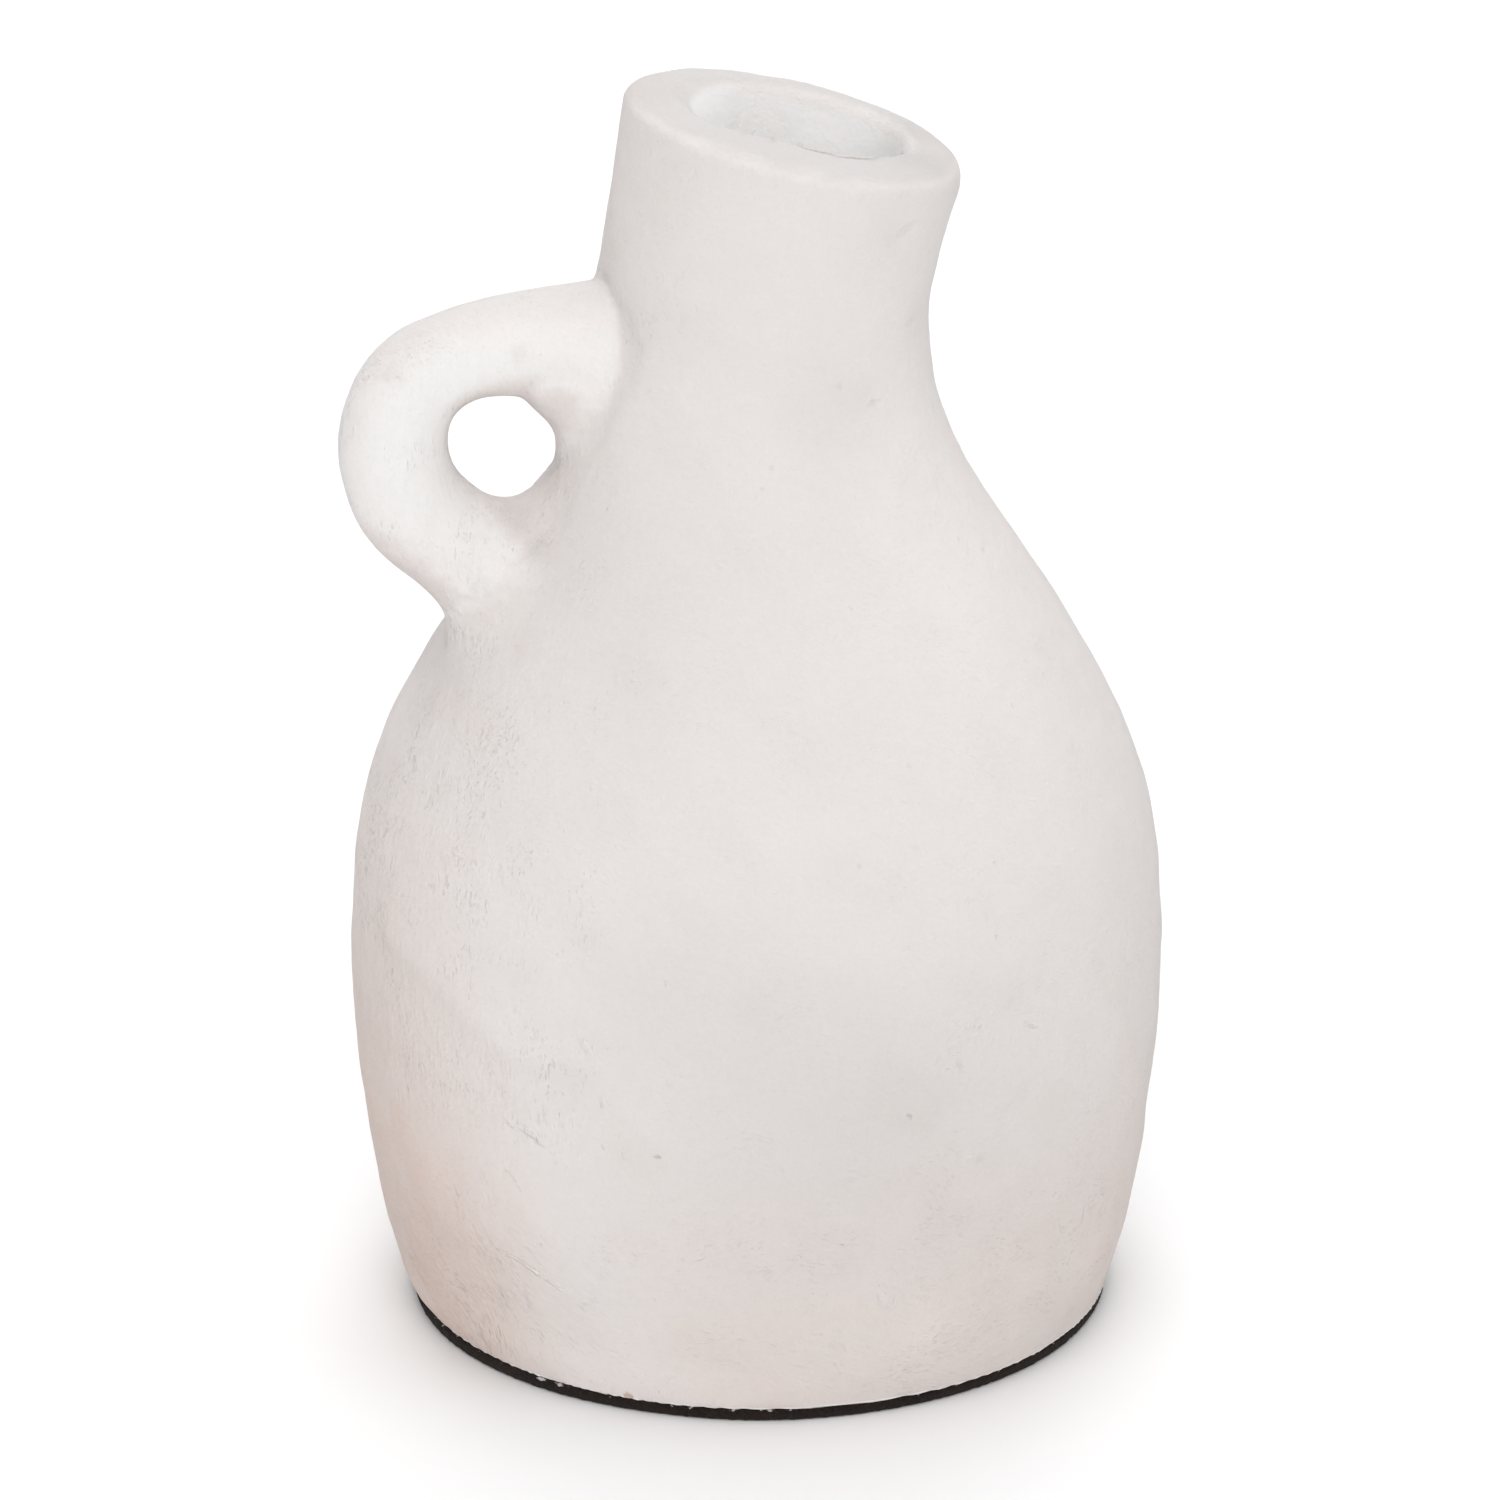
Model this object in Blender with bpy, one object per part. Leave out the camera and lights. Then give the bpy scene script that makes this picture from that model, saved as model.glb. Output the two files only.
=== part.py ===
"""Handled terracotta vase with a leaning neck and a slanted mouth.

The pot is built as a potter builds it: a floor slab, a belly wall, a shoulder
wall and a neck collar luted one on the other, a rolled clay loop luted to the
neck and the shoulder, and a felt pad glued under the foot.

Frame: +Z up, origin on the pot's axis at the underside of the pad. The handle
is towards -X. Lengths in the tables are millimetres, and MM turns them into
metres.
"""

import math

import bmesh
import bpy
import numpy as np
from mathutils import Vector

MM = 0.001

# --- driving dimensions, mm ------------------------------------------------
SEGMENTS = 56          # flats round the pot
GAP = 0.3              # slip or glue line between two touching pieces

PAD_THICK = 2.5        # felt sheet under the foot
PAD_RADIUS = 70.8
PAD_EDGE = 0.4         # softened edge of the felt
FLOOR_THICK = 10.0     # clay slab
FOOT_ROUND = 1.2       # rounded lower edge of the foot
SEAM_BELLY = 84.0      # height of the joint between belly and shoulder
SEAM_NECK = 186.0      # height of the joint between shoulder and neck
LUTE_RISE = 3.0        # a joint face is this much higher inside than outside

# Outside of the pot: height, radius
OUTSIDE = (
    (2.8, 70.8), (7.0, 72.5), (13.0, 74.5), (22.0, 76.6), (35.0, 78.7),
    (52.0, 80.7), (70.0, 81.7), (90.0, 81.0), (110.0, 77.6), (128.0, 70.2),
    (145.0, 60.3), (160.0, 50.9), (175.0, 42.2), (190.0, 36.1), (205.0, 33.1),
    (220.0, 33.1), (235.0, 34.3), (250.0, 35.8), (264.0, 37.2),
)
# Inside of the pot: height, radius
INSIDE = (
    (12.8, 62.0), (20.0, 66.2), (35.0, 69.6), (52.0, 71.6), (75.0, 72.4),
    (100.0, 70.2), (128.0, 61.2), (145.0, 51.0), (160.0, 41.8), (175.0, 33.6),
    (190.0, 27.2), (205.0, 22.8), (220.0, 20.6), (235.0, 20.0), (264.0, 20.2),
)
MOUTH_SQUEEZE = 0.92   # the mouth's width across the lean, over its length along it
MOUTH_SHIFT = 2.5      # the mouth sits this far towards +Y of the neck's middle
MOUTH_FROM = 195.0     # height where the round inside starts turning into the oval

LEAN_AZIMUTH = math.radians(-5.4)   # the neck leans, and the rim falls, this way
LEAN_SLOPE = 0.26      # sideways per unit of height in the straight upper neck
LEAN_FROM = 210.4      # height of the bend
LEAN_SOFT = 8.0        # how gradual the bend is
RIM_HEIGHT = 246.5     # height of the rim's plane on the pot's axis
RIM_FALL = 0.222       # fall of that plane per unit along the lean
LIP_OUTER = 4.6        # rounding of the rim's outer edge
LIP_INNER = 3.4        # rounding of the rim's inner edge

# Handle's middle line in the plane Y = 0: distance from the axis towards -X,
# height, radius of the clay roll. Both ends run on into the wall.
HANDLE = (
    (25.0, 200.4, 14.0), (33.0, 202.6, 12.0), (42.4, 204.0, 10.2),
    (51.9, 203.4, 9.6), (60.6, 201.0, 9.7), (68.2, 196.2, 10.2),
    (72.2, 187.9, 10.6), (72.0, 179.3, 11.0), (68.2, 171.8, 11.2),
    (61.4, 164.5, 11.3), (55.4, 158.6, 12.0), (49.2, 152.6, 13.8),
)
HANDLE_RINGS = 40
HANDLE_SIDES = 24


# --- curves ----------------------------------------------------------------
def spline(xs, ys):
    """A natural cubic through the stations, as a function of x."""
    xs, ys = np.asarray(xs, float), np.asarray(ys, float)
    n, h = len(xs), np.diff(xs)
    a, b = np.eye(n), np.zeros(n)
    for i in range(1, n - 1):
        a[i, i - 1], a[i, i], a[i, i + 1] = h[i - 1], 2 * (h[i - 1] + h[i]), h[i]
        b[i] = 6 * ((ys[i + 1] - ys[i]) / h[i] - (ys[i] - ys[i - 1]) / h[i - 1])
    m = np.linalg.solve(a, b)

    def at(x):
        i = int(np.clip(np.searchsorted(xs, x) - 1, 0, n - 2))
        u, v = xs[i + 1] - x, x - xs[i]
        return float(
            (m[i] * u**3 + m[i + 1] * v**3) / (6 * h[i])
            + (ys[i] / h[i] - m[i] * h[i] / 6) * u
            + (ys[i + 1] / h[i] - m[i + 1] * h[i] / 6) * v
        )

    return at


outside = spline(*zip(*OUTSIDE))
inside = spline(*zip(*INSIDE))
ALONG = (math.cos(LEAN_AZIMUTH), math.sin(LEAN_AZIMUTH))
ACROSS = (-ALONG[1], ALONG[0])


def bend(z):
    return LEAN_SLOPE * (math.hypot(z - LEAN_FROM, LEAN_SOFT) + z - LEAN_FROM) / 2


def lean(z):
    """How far the neck's middle is off the pot's axis at a height."""
    return max(0.0, bend(z) - bend(SEAM_NECK))


def rim_plane(x, y):
    return RIM_HEIGHT - RIM_FALL * (x * ALONG[0] + y * ALONG[1])


def outer_point(angle, z, grow=0.0):
    r = outside(z) + grow
    return (
        ALONG[0] * lean(z) + r * math.cos(angle),
        ALONG[1] * lean(z) + r * math.sin(angle),
        z,
    )


def inner_point(angle, z):
    """The inside turns from a circle into the mouth's oval as it goes up."""
    t = min(1.0, max(0.0, (z - MOUTH_FROM) / (RIM_HEIGHT - MOUTH_FROM)))
    t = t * t * (3 - 2 * t)
    r, turn = inside(z), angle - LEAN_AZIMUTH
    u = r * math.cos(turn) + lean(z)
    v = r * math.sin(turn) * (1 - t * (1 - MOUTH_SQUEEZE)) + t * MOUTH_SHIFT
    return (ALONG[0] * u + ACROSS[0] * v, ALONG[1] * u + ACROSS[1] * v, z)


def on_rim(point_at, angle):
    """The height at which a wall, followed up at one angle, meets the rim's plane."""
    z = RIM_HEIGHT
    for _ in range(12):
        x, y, _ = point_at(angle, z)
        z = rim_plane(x, y)
    return z


# --- materials -------------------------------------------------------------
def material(name, colour, roughness):
    mat = bpy.data.materials.new(name)
    mat.use_nodes = True
    bsdf = mat.node_tree.nodes["Principled BSDF"]
    bsdf.inputs["Base Color"].default_value = (*colour, 1.0)
    bsdf.inputs["Roughness"].default_value = roughness
    bsdf.inputs["Metallic"].default_value = 0.0
    return mat


# --- builders --------------------------------------------------------------
def add_object(name, mesh, mat):
    obj = bpy.data.objects.new(name, mesh)
    bpy.context.scene.collection.objects.link(obj)
    mesh.materials.append(mat)
    mesh.shade_smooth()
    mesh.set_sharp_from_angle(angle=math.radians(35))
    return obj


def turned(name, profile, mat):
    """A turned solid. The profile runs down its outer side, and a ring's profile is closed."""
    mesh = bpy.data.meshes.new(name)
    bm = bmesh.new()
    verts = [bm.verts.new((r * MM, 0.0, z * MM)) for r, z in profile]
    pairs = list(zip(verts, verts[1:]))
    if all(r > 1e-9 for r, _ in profile):
        pairs.append((verts[-1], verts[0]))
    for pair in pairs:
        bm.edges.new(pair)
    bm.to_mesh(mesh)
    bm.free()
    obj = add_object(name, mesh, mat)
    screw = obj.modifiers.new("turn", "SCREW")
    screw.axis = "Z"
    screw.angle = math.tau
    screw.steps = screw.render_steps = SEGMENTS
    screw.use_merge_vertices = True
    screw.merge_threshold = 0.00001
    screw.use_smooth_shade = True
    return obj


def stations(low, high, step):
    n = max(1, round((high - low) / step))
    return [low + (high - low) * i / n for i in range(n + 1)]


def loft(bm, rings, closed):
    """Faces between successive rings, and between the last and the first if closed."""
    following = rings[1:] + ([rings[0]] if closed else [])
    for ring, after in zip(rings, following):
        for i in range(len(ring)):
            j = (i + 1) % len(ring)
            bm.faces.new((ring[i], ring[j], after[j], after[i]))


def wall(name, low, high, step, mat):
    """A turned wall between two joint faces, each higher inside than outside."""
    half = LUTE_RISE / 2
    outer = [(outside(z), z) for z in reversed(stations(low - half, high - half, step))]
    inner = [(inside(z), z) for z in stations(low + half, high + half, step)]
    return turned(name, outer + inner, mat)


# --- the pieces ------------------------------------------------------------
def build_pad(mat):
    r, e, t = PAD_RADIUS, PAD_EDGE, PAD_THICK
    return turned("base_pad", [(0, t), (r - e, t), (r, t - e), (r, e), (r - e, 0), (0, 0)], mat)


def build_floor(mat):
    """The slab's edge is the lowest part of the outside, and the belly wall stands on it."""
    low, high = PAD_THICK + GAP, PAD_THICK + GAP + FLOOR_THICK
    step_in = inside(high) - 1.0
    profile = [(0, high), (step_in, high), (step_in + 0.6, high - 0.3)]
    profile += [(outside(high - LUTE_RISE), high - LUTE_RISE)]
    profile += [(outside(z), z) for z in (7.0, low + FOOT_ROUND)]
    profile += [(outside(low) - 0.3 * FOOT_ROUND, low + 0.3 * FOOT_ROUND)]
    profile += [(outside(low) - FOOT_ROUND, low), (0, low)]
    return turned("floor_slab", profile, mat)


def build_belly(mat):
    """Stands on the slab's sloping edge and carries the shoulder."""
    low = PAD_THICK + GAP + FLOOR_THICK
    half = LUTE_RISE / 2
    outer = [(outside(z), z) for z in reversed(stations(low - LUTE_RISE + GAP, SEAM_BELLY - half, 9.0))]
    foot = [(inside(low) - 0.4, low - 0.3 + GAP), (inside(low + GAP), low + GAP + 0.6)]
    inner = [(inside(z), z) for z in stations(low + 7.0, SEAM_BELLY + half, 9.0)]
    return turned("belly_wall", outer + foot + inner, mat)


def build_neck(mat):
    """The collar leans, its inside turns oval, and its rim is a slanted flat with rounded edges."""
    mesh = bpy.data.meshes.new("neck_collar")
    bm = bmesh.new()
    weight = bm.edges.layers.float.new("bevel_weight_edge")
    angles = [math.tau * i / SEGMENTS for i in range(SEGMENTS)]
    half = LUTE_RISE / 2
    low = SEAM_NECK + GAP
    shares = [0.0, 0.12, 0.24, 0.36, 0.48, 0.6, 0.72, 0.86, 1.0]

    def rings_of(point_at, bottom):
        tops = [on_rim(point_at, a) for a in angles]
        return [
            [bm.verts.new(Vector(point_at(a, bottom + (top - bottom) * s)) * MM) for a, top in zip(angles, tops)]
            for s in shares
        ]

    outer = rings_of(outer_point, low - half)
    inner = rings_of(inner_point, low + half)
    loft(bm, outer + inner[::-1], closed=True)
    for ring, width in ((outer[-1], LIP_OUTER), (inner[-1], LIP_INNER)):
        for i, vert in enumerate(ring):
            edge = bm.edges.get((vert, ring[(i + 1) % SEGMENTS]))
            edge[weight] = width / LIP_OUTER
    bmesh.ops.recalc_face_normals(bm, faces=bm.faces)
    bm.to_mesh(mesh)
    bm.free()
    obj = add_object("neck_collar", mesh, mat)
    lip = obj.modifiers.new("lip", "BEVEL")
    lip.limit_method = "WEIGHT"
    lip.width = LIP_OUTER * MM
    lip.segments = 4
    lip.profile = 0.5
    return obj


def build_wall_cutter():
    """The outside of the shoulder and neck as one solid, a slip line larger, to fit the handle's ends."""
    mesh = bpy.data.meshes.new("wall_cutter")
    bm = bmesh.new()
    angles = [math.tau * i / SEGMENTS for i in range(SEGMENTS)]
    rings = [
        [bm.verts.new(Vector(outer_point(a, z, GAP * 1.15)) * MM) for a in angles]
        for z in stations(125.0, 235.0, 4.0)
    ]
    loft(bm, rings, closed=False)
    bm.faces.new(rings[0])
    bm.faces.new(rings[-1])
    bmesh.ops.recalc_face_normals(bm, faces=bm.faces)
    bm.to_mesh(mesh)
    bm.free()
    cutter = bpy.data.objects.new("wall_cutter", mesh)
    bpy.context.scene.collection.objects.link(cutter)
    cutter.display_type = "WIRE"
    cutter.hide_render = True
    return cutter


def build_handle(mat, cutter):
    """A rolled clay loop, thicker where it spreads on the wall, cut to the wall at both ends."""
    line = np.array(HANDLE)
    run = np.concatenate([[0], np.cumsum(np.hypot(*np.diff(line[:, :2], axis=0).T))])
    s_at, z_at, r_at = (spline(run, line[:, k]) for k in range(3))
    mesh = bpy.data.meshes.new("handle")
    bm = bmesh.new()
    rings = []
    for i in range(HANDLE_RINGS + 1):
        t, d = run[-1] * i / HANDLE_RINGS, 0.01
        s, z, r = s_at(t), z_at(t), r_at(t)
        tangent = Vector((-(s_at(t + d) - s_at(t - d)), 0.0, z_at(t + d) - z_at(t - d))).normalized()
        side = Vector((0.0, 1.0, 0.0))
        up = tangent.cross(side)
        middle = Vector((-s, 0.0, z))
        rings.append([
            bm.verts.new((middle + r * (math.cos(a) * side + math.sin(a) * up)) * MM)
            for a in (math.tau * k / HANDLE_SIDES for k in range(HANDLE_SIDES))
        ])
    loft(bm, rings, closed=False)
    bm.faces.new(rings[0])
    bm.faces.new(rings[-1])
    bmesh.ops.recalc_face_normals(bm, faces=bm.faces)
    bm.to_mesh(mesh)
    bm.free()
    obj = add_object("handle", mesh, mat)
    cut = obj.modifiers.new("fit_to_wall", "BOOLEAN")
    cut.operation = "DIFFERENCE"
    cut.solver = "EXACT"
    cut.object = cutter
    return obj


def main():
    for obj in list(bpy.data.objects):
        bpy.data.objects.remove(obj, do_unlink=True)
    clay = (0.74, 0.70, 0.68)
    build_pad(material("felt", (0.022, 0.018, 0.016), 0.95))
    build_floor(material("floor_clay", clay, 0.88))
    build_belly(material("belly_clay", clay, 0.88))
    wall("shoulder_wall", SEAM_BELLY + GAP, SEAM_NECK, 8.0, material("shoulder_clay", clay, 0.88))
    build_neck(material("neck_clay", clay, 0.88))
    build_handle(material("handle_clay", (0.78, 0.75, 0.73), 0.88), build_wall_cutter())


main()
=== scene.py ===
import math

import bpy
import numpy as np
from mathutils import Matrix, Vector


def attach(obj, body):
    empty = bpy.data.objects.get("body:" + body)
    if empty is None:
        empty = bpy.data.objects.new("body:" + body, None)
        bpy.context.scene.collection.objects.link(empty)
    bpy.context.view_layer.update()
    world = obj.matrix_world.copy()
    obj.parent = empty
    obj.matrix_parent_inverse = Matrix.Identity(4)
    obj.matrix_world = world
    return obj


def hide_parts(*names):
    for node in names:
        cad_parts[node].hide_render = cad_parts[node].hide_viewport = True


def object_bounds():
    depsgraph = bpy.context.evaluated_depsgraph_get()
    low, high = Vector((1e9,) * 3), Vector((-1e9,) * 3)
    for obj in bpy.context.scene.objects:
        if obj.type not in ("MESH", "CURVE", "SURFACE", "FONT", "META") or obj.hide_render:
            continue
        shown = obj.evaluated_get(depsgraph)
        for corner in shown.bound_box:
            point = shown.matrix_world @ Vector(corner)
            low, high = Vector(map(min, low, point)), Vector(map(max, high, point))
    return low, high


# A hand-built jug-shaped vase: one skin of limewashed clay (body, neck, mouth and loop handle run into each other, as
# luted and fired clay does) on a disc of dark felt. All the shaping is done in millimetres, in the frame's axes.

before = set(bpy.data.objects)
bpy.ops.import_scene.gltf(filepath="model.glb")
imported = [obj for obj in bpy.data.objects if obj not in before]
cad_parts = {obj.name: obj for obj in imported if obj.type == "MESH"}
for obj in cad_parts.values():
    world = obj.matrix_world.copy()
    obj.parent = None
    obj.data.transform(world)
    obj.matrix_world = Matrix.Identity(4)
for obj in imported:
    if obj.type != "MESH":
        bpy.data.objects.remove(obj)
cad_low, cad_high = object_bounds()
LOW = np.array(cad_low) * 1000.0
HIGH = np.array(cad_high) * 1000.0

VOXEL = 1.4

# ---------------------------------------------------------------------------------------------- driving dimensions, mm

OUTSIDE = ((-6.0, 69.0), (2.8, 70.8), (7.0, 72.5), (13.0, 74.5), (22.0, 76.6), (35.0, 78.8), (52.0, 80.85), (70.0, 81.5),
           (90.0, 80.75), (110.0, 77.15), (128.0, 69.7), (145.0, 60.2), (160.0, 50.75), (175.0, 42.1), (190.0, 36.1),
           (205.0, 33.1), (220.0, 33.1), (235.0, 34.3), (250.0, 36.3), (264.0, 37.8))
INSIDE = ((6.0, 60.0), (12.8, 62.0), (20.0, 66.2), (35.0, 69.6), (52.0, 71.6), (75.0, 72.4), (100.0, 70.2),
          (128.0, 61.2), (145.0, 51.0), (160.0, 41.8), (175.0, 33.6), (190.0, 27.2), (205.0, 23.2), (220.0, 21.8),
          (235.0, 21.3), (250.0, 21.7), (264.0, 22.0))
# How far the middle of a level stands off the axis, towards the camera's right: the pot isn't quite true.
WANDER = ((-6.0, 1.0), (2.8, 0.9), (7.0, 0.5), (13.0, 0.25), (22.0, 0.05), (35.0, -0.1), (52.0, 0.2), (70.0, 0.4),
          (90.0, 0.15), (110.0, 0.0), (128.0, 0.38), (145.0, 0.38), (160.0, 0.08), (175.0, -0.5), (190.0, -0.7),
          (205.0, -0.1), (220.0, 0.15), (235.0, -0.15), (250.0, 0.1), (264.0, 0.2))
FOOT = 2.35
FLOOR = 12.8
MOUTH_SQUEEZE = 1.03
MOUTH_SHIFT = 5.6
MOUTH_ASIDE = 1.7
DISH = 6.0
MOUTH_FROM = 205.0
LEAN_AZIMUTH = math.radians(-5.4)
LEAN_SLOPE = 0.26
LEAN_FROM = 210.4
LEAN_SOFT = 8.0
LEAN_START = 186.0
RIM_HEIGHT = 246.5
RIM_FALL = 0.222
LIP_INNER = 3.0
HANDLE = ((25.0, 200.4, 14.0), (33.0, 202.4, 12.0), (42.4, 203.5, 10.3), (51.9, 202.95, 9.85), (60.65, 200.95, 9.7),
          (68.4, 196.3, 9.95), (72.1, 187.8, 10.45), (72.05, 179.2, 10.9), (68.7, 171.6, 11.0), (61.5, 164.2, 11.1),
          (55.4, 158.4, 11.9), (49.2, 152.6, 13.8))
# the middle of the loop's hole, and the hollow that a finger pressed in the wall behind it
LOOP_EYE = (-50.76, 0.37, 182.25)
EYE_ROUND = 9.72
EYE_SHAPE = ((-0.19, 0.36), (0.34, -0.38), (0.17, 0.32))
PRESSED = (-40.5, 9.0, 172.5)
PRESSED_DEPTH = 2.6
EYE_FILLET = 14.5
# a thumb of clay in the hole's upper corner: across, up (mm, as the eye sees it), radius
CORNER = (10.9, 10.2, 4.4)
PAD_TOP = 2.45
PAD_ASIDE = 0.5

# ---------------------------------------------------------------------------------------------------------- the camera

LENS = 192.0
SENSOR = 36.0
FRAME_W, FRAME_H = 1499, 1500
EYE = np.array([-338.6, -1460.5, 673.56])
AHEAD = np.array([0.21078, 0.91301, -0.34927])
AHEAD /= np.linalg.norm(AHEAD)
RIGHT = np.cross(AHEAD, (0.0, 0.0, 1.0))
RIGHT /= np.linalg.norm(RIGHT)
UP = np.cross(RIGHT, AHEAD)
FOCAL = LENS / SENSOR * FRAME_H


def sight(x, y):
    """Unit vector from the eye through a pixel of the 1499 x 1500 frame."""
    d = AHEAD * FOCAL + RIGHT * (x - FRAME_W / 2) - UP * (y - FRAME_H / 2)
    return d / np.linalg.norm(d)


# --------------------------------------------------------------------------------------------------- numbers to shapes

def natural_spline(xs, ys):
    """Second derivatives of the natural cubic spline through the points, and a function that evaluates it."""
    xs, ys = np.asarray(xs, float), np.asarray(ys, float)
    n = len(xs)
    h = np.diff(xs)
    a = np.zeros((n, n))
    b = np.zeros(n)
    a[0, 0] = a[-1, -1] = 1.0
    for i in range(1, n - 1):
        a[i, i - 1], a[i, i], a[i, i + 1] = h[i - 1], 2 * (h[i - 1] + h[i]), h[i]
        b[i] = 6 * ((ys[i + 1] - ys[i]) / h[i] - (ys[i] - ys[i - 1]) / h[i - 1])
    m = np.linalg.solve(a, b)

    def value(x):
        x = np.clip(x, xs[0], xs[-1])
        i = np.clip(np.searchsorted(xs, x) - 1, 0, n - 2)
        t = (x - xs[i]) / h[i]
        s = 1 - t
        return s * ys[i] + t * ys[i + 1] + ((s ** 3 - s) * m[i] + (t ** 3 - t) * m[i + 1]) * h[i] ** 2 / 6

    return value


LEVELS = np.arange(-6.0, 264.01, 0.25)
R_OUT = natural_spline(*zip(*OUTSIDE))(LEVELS)
R_IN = natural_spline(*zip(*INSIDE))(LEVELS)
SLOPE_OUT = np.hypot(1.0, np.gradient(R_OUT, LEVELS))
SLOPE_IN = np.hypot(1.0, np.gradient(R_IN, LEVELS))


def bend(z):
    return LEAN_SLOPE * (np.hypot(z - LEAN_FROM, LEAN_SOFT) + z - LEAN_FROM) / 2


LEAN = np.maximum(0.0, bend(LEVELS) - bend(LEAN_START))
DRIFT = natural_spline(*zip(*WANDER))(LEVELS)
ALONG = np.array([math.cos(LEAN_AZIMUTH), math.sin(LEAN_AZIMUTH)])
ACROSS = np.array([-ALONG[1], ALONG[0]])
MIDDLE_X = LEAN * ALONG[0] + DRIFT * RIGHT[0]
MIDDLE_Y = LEAN * ALONG[1] + DRIFT * RIGHT[1]


def level(table, z):
    return np.interp(z, LEVELS, table)


def smoothstep(t):
    t = np.clip(t, 0.0, 1.0)
    return t * t * (3 - 2 * t)


def round_and(a, b, r):
    """Intersection of two solids given by their distances, with the edge rounded to r."""
    return np.minimum(-r, np.maximum(a, b)) + np.hypot(np.maximum(a + r, 0), np.maximum(b + r, 0))


def round_or(a, b, r):
    """Union with a fillet of radius r."""
    return np.maximum(r, np.minimum(a, b)) - np.hypot(np.maximum(r - a, 0), np.maximum(r - b, 0))


# the loop of the handle, as a fine chain
_chord = np.concatenate([[0], np.cumsum(np.hypot(np.diff([p[0] for p in HANDLE]), np.diff([p[1] for p in HANDLE])))])
_fine = np.linspace(0, _chord[-1], 73)
LOOP = np.stack([-natural_spline(_chord, [p[0] for p in HANDLE])(_fine), np.zeros(len(_fine)),
                 natural_spline(_chord, [p[1] for p in HANDLE])(_fine)], -1)
LOOP_R = natural_spline(_chord, [p[2] for p in HANDLE])(_fine)


def loop_distance(p):
    """Distance to the rolled clay of the handle, good to about 25 mm from it, and a large value beyond."""
    d = np.full(len(p), 60.0)
    near = (p[:, 0] < -8) & (p[:, 2] > 122) & (p[:, 2] < 236) & (np.abs(p[:, 1]) < 38)
    q = p[near]
    if not len(q):
        return d
    best = np.full(len(q), 1e9)
    for a, b, ra, rb in zip(LOOP[:-1], LOOP[1:], LOOP_R[:-1], LOOP_R[1:]):
        ab = b - a
        t = np.clip(((q - a) @ ab) / (ab @ ab), 0, 1)
        away = q - a - t[:, None] * ab
        best = np.minimum(best, np.sqrt(np.einsum("ij,ij->i", away, away)) - (ra + (rb - ra) * t))
    d[near] = np.minimum(best, 60.0)
    return d


EYE_AXIS = sight(503.5, 446.5)
EYE_SIDE = np.cross(EYE_AXIS, (0.0, 0.0, 1.0))
EYE_SIDE /= np.linalg.norm(EYE_SIDE)
EYE_UP = np.cross(EYE_SIDE, EYE_AXIS)


def from_eye(p):
    """Distance from the line that a finger took through the loop, less the hole's own radius there."""
    q = p - np.array(LOOP_EYE)
    a, b, c = q @ EYE_SIDE, q @ EYE_UP, q @ EYE_AXIS
    turn = np.arctan2(b, a)
    size = np.full(len(p), EYE_ROUND)
    for k, (even, odd) in enumerate(EYE_SHAPE, 1):
        size += even * np.cos(k * turn) + odd * np.sin(k * turn)
    size -= 0.42 * np.exp(-((turn - 0.95) / 0.40) ** 2) + 0.16 * np.exp(-((turn + 2.65) / 0.35) ** 2)
    return np.hypot(a, b) - size, c


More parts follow.
